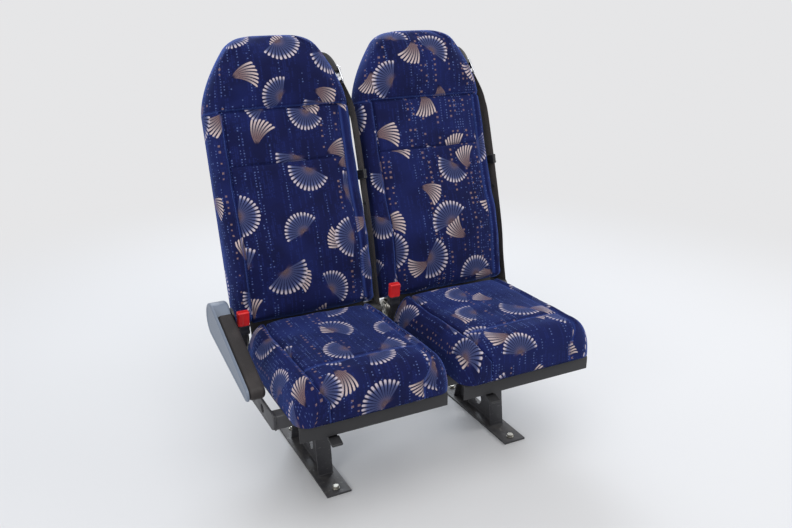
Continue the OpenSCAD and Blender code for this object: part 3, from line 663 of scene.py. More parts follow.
def woven_strap():
    """Belt webbing: fine cords along the strap, crossed by slanting weft, with firmer edges."""
    f = Finish("belt_webbing", Roughness=0.7, Sheen_Weight=0.25, Sheen_Roughness=0.4)
    uv = f.place("UV")
    across, along, _ = f.parts(uv)
    weave = f.wave(across, CORD_PITCH) * 0.6 + f.wave(along + across * 0.8, WEFT_PITCH) * 0.4
    edge = f.step(abs(across), 0.0195, 0.0215)
    fray = f.noise(uv, 300.0, 3.0)
    shade = f.mix(weave, colour(34, 29, 28), colour(74, 66, 62))
    shade = f.mix(edge * 0.6, shade, colour(28, 24, 24))
    f.bump(weave + fray * 0.2, 0.35 * MM, 0.8)
    return f.done(Base_Color=f.mix(fray * 0.4, shade, colour(58, 52, 50)))


def soft_skin():
    """The armrest's foam skin: a dense dark skin with fine creases and a polish from elbows."""
    f = Finish("armrest_skin", Specular_IOR_Level=0.4)
    place = f.place()
    cells = f.cells(place, 620.0, "DISTANCE_TO_EDGE")
    broad = f.noise(place, 14.0, 4.0)
    shine = f.step(broad, 0.4, 0.7)
    f.bump(f.step(cells, 0.0, 0.12), 0.18 * MM, 0.5)
    return f.done(Base_Color=f.mix(shine, colour(36, 32, 32), colour(50, 45, 44)),
                  Roughness=0.62 - shine * 0.14)


def gloss_plastic(name, shade, rough):
    """Injection-moulded gloss plastic with hairline scratches."""
    f = Finish(name, Coat_Weight=0.3, Coat_Roughness=0.2)
    place = f.place()
    scratch = f.noise(place, 380.0, 4.0, 0.7)
    haze = f.noise(place, 40.0, 3.0)
    f.bump(scratch, 0.03 * MM, 0.3)
    return f.done(Base_Color=f.mix(haze, shade, tinted(shade, 1.25, 0.01)), Roughness=rough + haze * 0.1)


# The finish of each material slot of the record
FINISHES = {
    "moquette": moquette(),
    "webbing": woven_strap(),
    "armrest_pad": soft_skin(),
    "shell_grey": grained_plastic("rear_shell_plastic", colour(62, 65, 72), 0.52),
    "black_trim": grained_plastic("black_trim_plastic", colour(34, 34, 36), 0.5),
    "pocket_trim": grained_plastic("pocket_plastic", colour(44, 45, 48), 0.55),
    "armrest_grey": grained_plastic("armrest_plastic", colour(112, 122, 138), 0.46, 0.3),
    "frame_paint": powder_coat("frame_powder_coat", colour(52, 52, 56)),
    "pan_paint": powder_coat("pan_powder_coat", colour(34, 34, 37), 0.5),
    "zinc_steel": bright_metal("zinc_plate", colour(176, 174, 166), 0.3, (90.0, 1400.0, 1400.0)),
    "chrome_steel": bright_metal("chrome_plate", colour(226, 228, 232), 0.08, (300.0, 300.0, 900.0)),
    "buckle_black": gloss_plastic("buckle_plastic", colour(28, 28, 30), 0.34),
    "red_button": gloss_plastic("button_plastic", colour(206, 30, 28), 0.3),
}


# Upholstery

BACK_HALF = 0.2275
BACK_LONG = 0.878
CROWN_HALF = 0.1135
CROWN_R = 0.030
SHOULDER = 0.225
PAD_DEEP = 0.072
LUMBAR = 0.026
LUMBAR_AT = 0.235
LUMBAR_SPAN = 0.12
PILLOW = 0.020
HEAD_SEAM = 0.220
MID_SEAM = 0.380
ROLL_WIDE = 0.046
ROLL_HIGH = 0.016
PAD_LOW = 0.036
TOP_ROUND = 0.042
FOOT_ROUND = 0.022
SEAM_SINK = 0.0065
SEAM_SPAN = 0.0042
SEWN_WITHIN = 0.9 * MM
FOLD_HIGH = 0.0017
FOLD_AT = 0.0030
FOLD_SPAN = 0.0020
PUCKER_HIGH = 0.5 * MM
PUCKER_SPAN = 0.02
ROLL_STEP = 0.014
SWELL_CAP = 0.010
SWELL_FRAMES = 20
CLOTH = {
    "vertex_group_mass": "sewn", "quality": 6, "mass": 0.4, "tension_stiffness": 25,
    "compression_stiffness": 25, "shear_stiffness": 8, "bending_stiffness": 1.5,
    "use_pressure": True, "uniform_pressure_force": 4.0,
}


def end_share(h, radius, least=0.0):
    """Share of the depth that is left h from a rounded end: a quarter circle."""
    inside = np.clip(1 - h / radius, 0, 1)
    return np.maximum(least, np.sqrt(np.maximum(1 - inside ** 2, 0)))


def back_half_at(d):
    """Half outline of a back, d below its top: the half width, less the crown's share times a power of the
    way up the shoulder, less the rounding of the top corner."""
    slope = 1 - np.clip(d / SHOULDER, 0, 1)
    round_in = CROWN_R * (1 - end_share(d, CROWN_R))
    return BACK_HALF - (BACK_HALF - CROWN_HALF) * slope ** 1.65 - round_in


def fall_at(s):
    """Share of the depth at s across, from -1 to 1: 1 minus s to the 7th, to the power 1 / 2.2."""
    return np.maximum(1 - np.abs(s) ** 7, 0) ** (1 / 2.2)


def both_sides(*gaps):
    """Gaps in millimetres on both sides of a mark and at it, as an array in metres."""
    return np.array([-gap for gap in gaps[::-1]] + [0.0, *gaps]) * MM


def merged(plain, close, clear):
    """The close places, and the plain ones that stay clear of them, in order."""
    kept = [place for place in plain if np.abs(close - place).min() > clear]
    return np.sort(np.concatenate([kept, close]))


def spread_marks(low, high, step, marks, near):
    """Places from low to high, about step apart, with closer ones on both sides of each mark."""
    plain = np.linspace(low, high, int(round((high - low) / step)) + 1)
    return merged(plain, np.concatenate([mark + near for mark in marks]), step * 0.45)


def heights_up(foot, top, step, marks, near, count):
    """Heights from foot to top: about step apart, closer near each mark, and then by count even turns of
    the quarter circle that rounds the top."""
    turn = np.radians(np.linspace(0, 90, count)[1:])
    low = spread_marks(foot, top - TOP_ROUND, step, marks, near)
    return np.concatenate([low, top - TOP_ROUND * (1 - np.sin(turn))])


def places_across(count, marks, near, clear):
    """Places from -1 to 1 across a piece: the cosines of even turns, with closer ones near each mark on
    both sides of the middle."""
    close = np.concatenate([side * mark + near for side in (-1, 1) for mark in marks])
    return merged(np.cos(np.radians(np.linspace(180, 0, count))), close, clear)


def swell(points, pinned):
    """Blows a sheet up with Cloth while its pinned points hold, and gives how far each point moved, at most
    SWELL_CAP."""
    mesh = bpy.data.meshes.new("swelling")
    faces = grid_faces(*pinned.shape, round_columns=False)
    mesh.from_pydata(points.reshape(-1, 3).tolist(), [], faces.tolist())
    cloth = linked("swelling", mesh)
    cloth.vertex_groups.new(name="sewn").add(np.flatnonzero(pinned).tolist(), 1.0, "REPLACE")
    settings = cloth.modifiers.new("Cloth", "CLOTH").settings
    for key, value in CLOTH.items():
        setattr(settings, key, value)
    settings.effector_weights.gravity = 0
    scene = bpy.context.scene
    for number in range(1, SWELL_FRAMES + 1):
        scene.frame_set(number)
    shown = cloth.evaluated_get(bpy.context.evaluated_depsgraph_get())
    place = np.zeros(points.size, np.float32)
    shown.data.vertices.foreach_get("co", place)
    moved = place.reshape(points.shape).astype(float) - points
    scene.frame_set(1)
    bpy.data.objects.remove(cloth)
    bpy.data.meshes.remove(mesh)
    far = np.linalg.norm(moved, axis=-1, keepdims=True)
    return moved * np.minimum(1, SWELL_CAP / np.maximum(far, 1e-9))


def swollen(face, seams, held_rows):
    """A face blown up between its seams, which are given as distances, with its sides and held rows sewn
    down."""
    pinned = np.minimum.reduce(seams) < SEWN_WITHIN
    pinned[held_rows] = True
    pinned[:, [0, 1, -2, -1]] = True
    return face + swell(face, pinned)


def grid_normals(points, facing):
    """Unit normals of a grid of points, the cross product of its two directions, turned to one side."""
    normal = np.cross(np.gradient(points, axis=0), np.gradient(points, axis=1))
    normal /= np.maximum(np.linalg.norm(normal, axis=-1, keepdims=True), 1e-12)
    return normal * np.sign((normal @ facing).mean())


def unevenness(a, b, seams, high, broad, fine):
    """Soft unevenness of a cover over (a, b): a broad ripple of a height, and fine puckers that fade away
    from the seams as a bell. Each ripple is given by its seed and its wave."""
    pucker = bell(np.minimum.reduce(seams) / PUCKER_SPAN)
    return high * ripple(a, b, *broad) + PUCKER_HIGH * pucker * ripple(a, b, *fine)


def seam_fold(gap):
    """The light fold beside a seam: a bell of the distance from it."""
    return FOLD_HIGH * bell((gap - FOLD_AT) / FOLD_SPAN)


def runs_from_middle(ring, middle):
    """Length across and along a closed cover, from its middle column and its first row."""
    across = run_length(ring, 1)
    across = across - across[:, [middle]]
    return across, run_length(ring[:, [middle]], 0) + 0 * across


def cover_piece(name, ring, faces, uv, panels, seam, body, node):
    """A sewn cover of seat fabric that stands for a pad. panels moves each face's place on the cloth."""
    piece = new_piece(name, ring, faces, uv.reshape(-1, 2)[faces] + panels[:, None], seam)
    finished(piece, body, "moquette", node)


def seam_corners(faces, shape, roll, cross, at_roll):
    """Distance and place along the nearest seam, at each corner of each face. A whole face takes one seam,
    the roll's or the crossing one, by its corners' majority. Faces off the sewn skin are far from all."""
    skin = at_roll.shape[1]

    def at_corners(*values):
        """The skin's values at each face's corners, with 1 off the skin."""
        whole = np.ones(shape + (len(values),))
        whole[:, :skin] = np.stack(values, -1)
        return whole.reshape(-1, len(values))[faces]

    off_skin = (faces % shape[1] >= skin).any(1)
    by_roll = at_corners(at_roll).mean((1, 2)) > 0.5
    corners = np.where(by_roll[:, None, None], at_corners(*roll), at_corners(*cross))
    corners[off_skin] = 1.0
    return corners


def back_front(along, s):
    """The face of a back pad on a grid of heights and places across: the outline times s across, and in
    depth the pad with its lumbar, pillow and rolls, times the fall towards the edge."""
    d = BACK_LONG - along
    half = back_half_at(d)
    head = along - (BACK_LONG - HEAD_SEAM)
    deep = (PAD_DEEP + LUMBAR * bell((along - LUMBAR_AT) / LUMBAR_SPAN)
            + PILLOW * (0.42 * ease((head + 0.002) / 0.012) + 0.58 * ease(head / 0.075)))
    rise = ROLL_HIGH * ease((half * np.abs(s) - (half - ROLL_WIDE)) / ROLL_STEP)
    rise = rise * (1 - 0.6 * ease((head + 0.004) / 0.012))
    ends = end_share(d, TOP_ROUND) * end_share(along - PAD_LOW, FOOT_ROUND, 0.3)
    return np.stack([half * s, -fall_at(s) * (deep + rise) * ends, along], -1)


def back_seams(along, s):
    """Distance to the nearest sewn seam of a back pad: across at the head and the middle of the insert, and
    along both rolls below the head."""
    head_at, mid_at = BACK_LONG - HEAD_SEAM, BACK_LONG - MID_SEAM
    across = back_half_at(BACK_LONG - along) * s
    side = np.abs(np.abs(across) - (BACK_HALF - ROLL_WIDE))
    below = along < head_at + 0.001
    insert = np.abs(across) < BACK_HALF - ROLL_WIDE + 0.001
    head = np.abs(along - head_at)
    rolls = np.where(below, side, 1.0)
    middle = np.where(insert, np.abs(along - mid_at), 1.0)
    return head, rolls, middle


BACK_NEAR = both_sides(1.4, 2.8, 4.6, 7.0)


def back_pad(seat, shift):
    """A back pad: its face swells between the seams, which are then drawn in, and a flat rear closes it."""
    head_at, mid_at = BACK_LONG - HEAD_SEAM, BACK_LONG - MID_SEAM
    seam_s = (BACK_HALF - ROLL_WIDE) / BACK_HALF
    along = heights_up(PAD_LOW, BACK_LONG, 0.0064, [mid_at, head_at], BACK_NEAR, 15)
    s = places_across(97, [seam_s], BACK_NEAR / BACK_HALF, 0.011)
    grid_z, grid_s = np.meshgrid(along, s, indexing="ij")
    seams = back_seams(grid_z, grid_s)
    face = swollen(back_front(grid_z, grid_s), seams, [0, -1])
    drawn = [bell(gap / SEAM_SPAN) for gap in seams]
    sink = SEAM_SINK * np.maximum.reduce([drawn[0], drawn[1], 0.7 * drawn[2]])
    uneven = unevenness(face[..., 0], face[..., 2], seams, 0.9 * MM,
                        (11 + shift, 0.11), (23 + shift, 0.022))
    head_up = grid_z - head_at
    roll_out = np.abs(back_half_at(BACK_LONG - grid_z) * grid_s) - (BACK_HALF - ROLL_WIDE)
    fold = seam_fold(head_up) + 0.6 * seam_fold(roll_out) * (head_up < 0)
    inner = ease((1 - np.abs(grid_s)) / 0.06) * ease((BACK_LONG - grid_z) / 0.05)
    face = face + grid_normals(face, (0, -1, 0)) * ((uneven - sink + fold) * inner)[..., None]
    face[..., 1] = np.minimum(face[..., 1], 0)
    rear_s = np.linspace(1, -1, 12)[1:-1]
    rear_z = along[:, None]
    rear = np.stack(np.broadcast_arrays(back_half_at(BACK_LONG - rear_z) * rear_s, 0.0, rear_z), -1)
    ring = np.concatenate([face, rear], axis=1)
    across_run, along_run = runs_from_middle(ring, len(s) // 2)
    faces = grid_faces(*ring.shape[:2])
    row, column = np.divmod(faces[:, 0], ring.shape[1])
    face_z = 0.5 * (along[row] + along[row + 1])
    face_s = np.concatenate([s, rear_s])[column]
    # Each panel is cut from a place of its own on the cloth
    panels = np.zeros((len(faces), 2))
    panels[face_z < head_at] = (0.053, 0.031)
    panels[face_z < mid_at] = (0.021, 0.077)
    in_roll = (face_z < head_at) & (np.abs(face_s) > seam_s - 0.002)
    panels[in_roll & (face_s > 0)] = (0.089, 0.113)
    panels[in_roll & (face_s < 0)] = (-0.067, 0.049)
    at_roll = (head_up < -0.001) & (np.abs(roll_out) < np.abs(head_up))
    seam = seam_corners(faces, ring.shape[:2], (roll_out, grid_z),
                        (head_up, across_run[:, :len(s)]), at_roll)
    uv = np.stack([across_run + 0.37 * shift, along_run + 0.21 * shift], -1)
    cover_piece(f"back_cover_{seat}", in_back(ring, seat), faces, uv, panels, seam,
                f"back_{seat}", f"back_pad_{seat}")


CUSHION_HALF = 0.222
CUSHION_LONG = 0.450
CUSHION_DEEP = 0.116
CUSHION_ROLL = 0.058
CUSHION_RISE = 0.009
WATERFALL = 0.054
CORNER = 0.042
FRONT_SEAM = 0.105
CUSHION_NEAR = both_sides(1.3, 2.6, 4.4, 7.0)


def cushion_half_at(h):
    """Half width of a cushion h behind its front: rounded front corners, and drawn in towards the rear."""
    front = CORNER * (1 - end_share(h, CORNER))
    return CUSHION_HALF - front - 0.010 * ease((0.09 - (CUSHION_LONG - h)) / 0.08)


def cushion_top(h, part, s):
    """A cushion's skin on a grid: h from the front, part of its full height at that place, s across. Its
    height is the depth times the part times the fall towards the edge, with a roll at each side."""
    half = cushion_half_at(h)
    deep = CUSHION_DEEP - 0.010 * ease(h / CUSHION_LONG)
    rise = CUSHION_RISE * ease((half * np.abs(s) - (half - CUSHION_ROLL)) / ROLL_STEP)
    return np.stack([half * s, h, fall_at(s) * (deep + rise) * part], -1)


def seat_cushion(seat, shift):
    """A seat cushion: up the front, over the waterfall edge, back along the top and down the rear."""
    turn = np.radians(np.linspace(0, 90, 16))
    front = [(0.0, p) for p in np.linspace(0.02, 0.5, 9)[:-1]]
    bend = [(WATERFALL * (1 - math.cos(t)), 0.5 + 0.5 * math.sin(t)) for t in turn]
    flat = spread_marks(WATERFALL + 0.006, CUSHION_LONG - 0.018, 0.0066, [FRONT_SEAM], CUSHION_NEAR)
    top = [(h, 1.0) for h in flat]
    rear = [(CUSHION_LONG - 0.016 * (1 - math.sin(t)), 0.6 + 0.4 * math.cos(t)) for t in turn[::3]]
    down = [(CUSHION_LONG, p) for p in np.linspace(0.5, 0.0, 5)]
    path = np.array(front + bend + top + rear + down)
    seam_s = (CUSHION_HALF - CUSHION_ROLL) / CUSHION_HALF
    s = places_across(89, [seam_s], CUSHION_NEAR / CUSHION_HALF, 0.012)
    h, part = [np.repeat(way[:, None], len(s), axis=1) for way in path.T]
    grid_s = s + 0 * h
    roll_out = np.abs(grid_s * CUSHION_HALF) - (CUSHION_HALF - CUSHION_ROLL)
    behind = h - FRONT_SEAM
    insert = np.abs(cushion_half_at(h) * grid_s) < CUSHION_HALF - CUSHION_ROLL + 0.001
    seams = (np.abs(roll_out), np.where(insert, np.abs(behind), 1.0))
    face = swollen(cushion_top(h, part, grid_s), seams, [0, 1, 2, -3, -2, -1])
    sink = SEAM_SINK * np.maximum.reduce([bell(gap / SEAM_SPAN) for gap in seams])
    uneven = unevenness(face[..., 0], face[..., 1], seams, 1.0 * MM,
                        (41 + shift, 0.13), (57 + shift, 0.024))
    inner = ease((1 - np.abs(grid_s)) / 0.06) * ease(part / 0.3)
    lift = (uneven - sink + 0.6 * seam_fold(roll_out)) * inner
    face = face + grid_normals(face, (0, 0, 1)) * lift[..., None]
    face[..., 2] = np.maximum(face[..., 2], 0)
    under_s = np.linspace(1, -1, 10)[1:-1]
    under_h = path[:, :1]
    under = np.stack(np.broadcast_arrays(cushion_half_at(under_h) * under_s, under_h, 0.0), -1)
    ring = np.concatenate([face, under], axis=1)
    across_run, along_run = runs_from_middle(ring, len(s) // 2)
    faces = grid_faces(*ring.shape[:2])
    row, column = np.divmod(faces[:, 0], ring.shape[1])
    face_s = np.concatenate([s, under_s])[column]
    panels = np.zeros((len(faces), 2))
    panels[path[row, 0] < FRONT_SEAM - 0.001] = (0.047, 0.029)
    panels[face_s > seam_s - 0.002] = (0.091, 0.063)
    panels[face_s < -seam_s] = (-0.071, 0.103)
    at_roll = (roll_out > -0.001) | (np.abs(roll_out) < np.abs(behind))
    seam = seam_corners(faces, ring.shape[:2], (roll_out, along_run[:, :len(s)]),
                        (behind, across_run[:, :len(s)]), at_roll)
    uv = np.stack([across_run + 0.29 * shift + 1.3, along_run + 0.17 * shift], -1)
    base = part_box(f"cushion_{seat}")[0]
    cover_piece(f"cushion_cover_{seat}", ring + np.array([SEATS[seat], base.y, base.z]), faces, uv, panels,
                seam, "base", f"cushion_{seat}")


for number, seat_name in enumerate(SEATS):
    back_pad(seat_name, number)
    seat_cushion(seat_name, number)


# Rear shells, closing boards and pockets

SHELL_DEEP = 0.032
SHELL_WALL = 0.0035
SHELL_INSET = 0.009
SHELL_NEAR = both_sides(1.3, 2.6, 4.5)
GROOVE_IN = 0.024
GROOVE_DEEP = 0.0022
GROOVE_SPAN = 0.0020
POCKET_HALF = 0.150
POCKET_Z = 0.330
POCKET_HIGH = 0.190
RECESS = 0.0016
RECESS_EDGE = 0.016


def rear_shell(seat):
    """A moulded rear shell: the back's outline drawn in, as deep as the fall towards its edge says, less a
    groove that runs round it and a shallow recess behind the pocket. An inner wall lies behind the outer
    one, and both meet at the middle of the wall at the foot and the top."""
    top = BACK_LONG - SHELL_INSET
    foot = PAD_LOW + 0.001
    edges = [foot + GROOVE_IN, POCKET_Z - RECESS_EDGE, POCKET_Z + POCKET_HIGH + RECESS_EDGE]
    along = heights_up(foot, top, 0.0085, edges, SHELL_NEAR, 36)[:, None]
    half_most = BACK_HALF - SHELL_INSET
    marks = [mark / half_most for mark in (half_most - GROOVE_IN, POCKET_HALF + RECESS_EDGE)]
    s = places_across(78, marks, SHELL_NEAR / half_most, 0.012)[::-1][None, :]
    half = back_half_at(BACK_LONG - along) - SHELL_INSET
    side_gap = half_most * (1 - np.abs(s)) + 0 * along
    end_gap = np.minimum(top - along, along - foot) + 0 * s
    gap = (np.maximum(side_gap, MM) ** -5 + np.maximum(end_gap, MM) ** -5) ** -0.2
    groove = GROOVE_DEEP * bell((gap - GROOVE_IN) / GROOVE_SPAN)
    beyond_x = np.abs(half * s) - (POCKET_HALF + RECESS_EDGE)
    beyond_z = np.abs(along - POCKET_Z - POCKET_HIGH / 2) - (POCKET_HIGH / 2 + RECESS_EDGE)
    recess = RECESS
    for beyond in (beyond_x, beyond_z):
        recess = recess * (1 - ease((beyond + 2 * MM) / (4 * MM)))
    deep = SHELL_DEEP * end_share(top - along, TOP_ROUND, 0.12)
    outer_deep = np.maximum(deep * fall_at(s) - (groove + recess) * ease(deep / SHELL_DEEP), 0)
    outer = np.stack(np.broadcast_arrays(half * s, outer_deep, along), -1)
    hollow = np.maximum(deep - SHELL_WALL, 0.0006)
    inner = np.stack(np.broadcast_arrays((half - SHELL_WALL) * s, hollow * fall_at(s), along), -1)
    ring = np.concatenate([outer, inner[:, ::-1]], axis=1)
    rims = [0.5 * (ring[k] + ring[k, ::-1]) for k in (0, -1)]
    rims[0][:, 2] -= 0.5 * MM
    ring = np.concatenate([rims[0][None], ring, rims[1][None]])
    on_back(seat, "rear_shell", ring, "shell_grey", "back_shell")


BOARD_HALF = 0.184
# Orders of a grid of (a, b, level) that put its level across a back, or in a back's depth
LEVEL_FIRST = [2, 0, 1]
LEVEL_SECOND = [0, 2, 1]


def closing_board(seat):
    """The moulded board under a back pad that closes the view between back and cushion: two circles and
    their tangents as its section, in the pad above and rolled below, from arm to arm."""
    section = filled(link((-0.034, 0.058), 1.3 * MM, (-0.031, -0.026), 2.4 * MM), 0.004)
    block = slab(section, -BOARD_HALF, BOARD_HALF, 0.8 * MM)
    on_back(seat, "closing_board", block[..., LEVEL_FIRST], "black_trim")


SHELL_SCREWS = ((0.178, 0.105), (0.178, 0.290), (0.178, 0.600), (0.104, 0.800))
# Radius and level in millimetres
CUP_WASHER = ((0, -1.5), (7.6, -1.5), (7.6, 0.5), (7.2, 1.1), (6.5, 1.4), (5.7, 1.3), (5.0, 0.4), (0, 0.3))


def shell_screws(seat):
    """Button-head screws with cup washers, in pairs down both sides of the rear shell."""
    rim = arc((0, 0), 1.0, 0, 350, 36)
    cup = stacked([(rim * radius * MM, level * MM) for radius, level in CUP_WASHER])
    grids = []
    for across, along in SHELL_SCREWS:
        fall = float(fall_at(across / (back_half_at(BACK_LONG - along) - SHELL_INSET)))
        for side in (-1, 1):
            for part in (cup, socket_screw(4.3 * MM, 1.9 * MM)):
                placed = part[..., LEVEL_SECOND] + np.array([side * across, SHELL_DEEP * fall, along])
                grids.append(in_back(placed, seat))
    joined(f"shell_screws_{seat}", grids, f"back_{seat}", "black_trim")


POCKET_WALL = 0.0025
POCKET_MOUTH = 0.024
POCKET_FLOOR = 0.009
# Share of the height, and in millimetres how far the rim stands out and its rear wall moves in
POCKET_RIM = ((0.974, 0.4, 0), (0.977, 1.4, 0), (0.982, 2.2, 0), (0.988, 2.5, 0), (0.994, 2.1, 0.1),
              (0.999, 1.2, 0.2), (1.0, 0.0, 0.4), (0.999, -1.3, 0.6), (0.994, -2.2, 0.8),
              (0.985, -2.5, 1.0))


def rear_pocket(seat):
    """A moulded magazine pocket: a cup whose outline, a rectangle with rounded front corners, grows in
    depth with height. Its mouth dips in the middle as a bell, has a rolled rim, and three soft ribs run
    down it."""
    share = np.concatenate([[0, 0.012, 0.03, 0.06], np.linspace(0.1, 0.9, 15), [0.93, 0.955, 0.97]])
    s = np.cos(np.radians(np.linspace(180, 0, 72)))
    u = np.concatenate([s, np.linspace(1, -1, 16)[1:-1]])
    v = np.concatenate([np.maximum(1 - np.abs(s) ** 18, 0) ** (1 / 2.2), np.zeros(14)])

    def ring(height, grow, back=0.0):
        """The outline at a height, grown outwards by grow, its rear wall moved in by back."""
        deep = POCKET_FLOOR + (POCKET_MOUTH - POCKET_FLOOR) * height
        foot = 1 - 0.035 * (1 - height)
        bow = 1 - 0.10 * np.abs(u) ** 3
        rib = 0.9 * MM * sum(bell((u - at) / 0.05) for at in (-0.5, 0.0, 0.5)) * ease(height / 0.2)
        across = (POCKET_HALF * foot + grow) * u
        depth = SHELL_DEEP - 2 * MM + back + (deep * bow + 2 * MM + grow - back - rib * (v > 0.9)) * v
        dip = 0.020 * bell(u / 0.32) * v * ease((height - 0.3) / 0.7)
        return np.stack(np.broadcast_arrays(across, depth, POCKET_Z + POCKET_HIGH * height - dip), -1)

    rows = [ring(height, -1.2 * MM * (1 - ease(height / 0.03))) for height in share]
    rows += [ring(height, grow * MM, back * MM) for height, grow, back in POCKET_RIM]
    rows += [ring(height, -POCKET_WALL, MM) for height in share[::-1][:-2]]
    on_back(seat, "rear_pocket", capped(np.stack(rows)), "pocket_trim", "pocket")


# Belts

WEB_WIDE = 0.047
WEB_THICK = 0.0014
WEB_IN = BACK_HALF + 0.004
WEB_OUT = WEB_IN + 0.005
RING_X = BACK_HALF - 0.013
RING_T = 0.005
RING_Y = -0.012
RING_DROP = 0.106
BAR_LOW = BACK_LONG - RING_DROP - 0.046
BAR_TOP = BAR_LOW + 0.008
OVER_BAR = 0.0006 + WEB_THICK / 2
WEB_END = 0.022
TONGUE_Y = -0.044
TONGUE_Z = BACK_LONG - RING_DROP - 0.350
STOP_DROP = 0.075
# The latch's grip with its slot and ribs, its blade with a window, and the stop button
GRIP_HIGH = 0.030
GRIP_ROUND = 0.0022
GRIP_BOX = (0.012, 0.058, 0.0048)
GRIP_SLOT = (0.0034, 0.050, 0.0015)
GRIP_RIB = 0.45 * MM
GRIP_PITCH = 0.0038
BLADE_BOX = (0.024, 0.040, 0.0055)
BLADE_WINDOW = (0.012, 0.009, 0.002)
BLADE_THICK = 0.0025
STOP_R = 0.0058
STOP_HALF = 0.0024

# Route of a belt in a back's own frame, from the cover up, over the ring's bar and down in front
WEB_ROUTE = np.array([
    (WEB_IN, 0.010, WEB_END - 0.008), (WEB_IN, 0.011, 0.120), (WEB_IN, 0.010, BACK_LONG - 0.340),
    (WEB_IN, 0.003, BACK_LONG - 0.270), (WEB_IN, 0.0, BACK_LONG - 0.232),
    (WEB_IN - 0.006, -0.005, BACK_LONG - 0.196), (RING_X - OVER_BAR, -0.010, BAR_LOW + 0.001),
    (RING_X - OVER_BAR, RING_Y, BAR_TOP - 0.001), (RING_X - OVER_BAR + 0.002, RING_Y, BAR_TOP + OVER_BAR),
    (RING_X + RING_T + OVER_BAR - 0.002, RING_Y, BAR_TOP + OVER_BAR),
    (RING_X + RING_T + OVER_BAR, RING_Y, BAR_TOP - 0.001),
    (RING_X + RING_T + OVER_BAR, -0.014, BAR_LOW - 0.001), (WEB_OUT - 0.003, -0.024, BACK_LONG - 0.200),
    (WEB_OUT, -0.034, BACK_LONG - 0.240), (WEB_OUT, TONGUE_Y, BACK_LONG - 0.320),
    (WEB_OUT, TONGUE_Y, 0.240), (WEB_OUT, -0.030, 0.110), (WEB_OUT, -0.024, WEB_END - 0.008)])


def belt_webbing(seat):
    """Belt webbing: a flat section with round edges carried along the route, its width from front to
    rear."""
    route = smooth_path(WEB_ROUTE, 0.006)
    section = rounded_box(WEB_WIDE, WEB_THICK, WEB_THICK * 0.48, 4)
    rows = carried(route, section, ALONG_DEPTH)
    length = np.pad(run_length(route, 0), 1, "edge")
    uv = np.stack(np.broadcast_arrays(section[None, :, 0], length[:, None]), -1)
    on_back(seat, "belt", rows, "webbing", "webbing", uv=uv)


BRACKET_TOP = 0.050
BRACKET_LOW = RING_DROP + 0.012
BRACKET_FRONT = 0.034
BRACKET_REAR = 0.014


def belt_arch(seat):
    """The moulded arch outside the shoulder: at each height its section is a squared half ellipse between
    the shoulder's edge and a quarter ellipse that runs out to the ring."""
    z_low, z_top = BACK_LONG - BRACKET_LOW, BACK_LONG - BRACKET_TOP
    share = 0.5 - 0.5 * np.cos(np.linspace(0, math.pi, 40))[:, None]
    z = z_low + (z_top - z_low) * share
    inner = back_half_at(BACK_LONG - z) - 0.004
    start = back_half_at(np.array(BRACKET_TOP)) + 0.004
    outer = start + (RING_X - start) * np.sqrt(np.maximum(1 - share ** 2, 0))
    turn = np.linspace(0, math.pi, 36)[None, :]
    ends = end_share(z - z_low, 0.007, 0.3) * end_share(z_top - z, 0.010, 0.15)
    half_deep = 0.5 * (BRACKET_FRONT + BRACKET_REAR) * ends ** 0.5
    across = inner + (outer - inner) * (0.55 + 0.45 * ends) * np.abs(np.sin(turn)) ** 0.45
    swing = np.sign(np.cos(turn)) * np.abs(np.cos(turn)) ** 0.6
    depth = 0.5 * (BRACKET_REAR - BRACKET_FRONT) - half_deep * swing
    rows = np.stack(np.broadcast_arrays(across, depth, z), -1)
    on_back(seat, "belt_arch", capped(rows), "black_trim", "belt_bracket")


def belt_latch(seat):
    """The tongue on the belt: a rounded grip with a slot for the belt and ribs across it, and a chromed
    blade with a window. A small stop button is pressed through the belt below it."""
    middle = np.array([WEB_OUT, TONGUE_Y, TONGUE_Z])
    outer = filled(rounded_box(*GRIP_BOX, 8), 0.003)
    inner = matched(rounded_box(*GRIP_SLOT, 8), len(outer))
    out = outward(outer)
    rows = []
    for height in np.linspace(0, GRIP_HIGH, 46):
        end = min(height, GRIP_HIGH - height)
        round_in = GRIP_ROUND * (1 - end_share(end, GRIP_ROUND))
        rib = GRIP_RIB * (1 + math.cos(height * 2 * math.pi / GRIP_PITCH)) * ease((end - 0.007) / 0.001)
        rows.append((outer - out * (round_in + rib), height))
    rows += [(inner, GRIP_HIGH), (inner, 0.0)]
    on_back(seat, "latch_grip", stacked(rows) + middle, "black_trim", "belt_tongue", round_rows=True)
    window = rounded_box(*BLADE_WINDOW, 8) + np.array([0, -0.006])
    blade = holed_plate(rounded_box(*BLADE_BOX, 8), window, 0.0, BLADE_THICK, 0.5 * MM)
    blade = blade[..., LEVEL_FIRST] + np.array([0.002, 0, -0.018]) + middle
    on_back(seat, "latch_blade", blade, "chrome_steel", round_rows=True)
    stop = slab(arc((0, 0), STOP_R, 0, 345, 24), -STOP_HALF, STOP_HALF, 0.0011)
    stop = stop[..., LEVEL_FIRST] + np.array([0, 0, -STOP_DROP]) + middle
    on_back(seat, "belt_stop", stop, "black_trim")


def holed_plate(outer, inner, low, high, edge):
    """A plate with a hole: rows of outlines that go round its wall, with edges cut back by edge."""
    out, into, part = outward(outer) * edge, outward(inner) * edge, 0.3
    return stacked([
        (outer, low + edge), (outer, high - edge), (outer - out * part, high - edge * part),
        (outer - out, high), (inner + into, high), (inner + into * part, high - edge * part),
        (inner, high - edge), (inner, low + edge), (inner + into * part, low + edge * part),
        (inner + into, low), (outer - out, low), (outer - out * part, low + edge * part)])


# Buckles

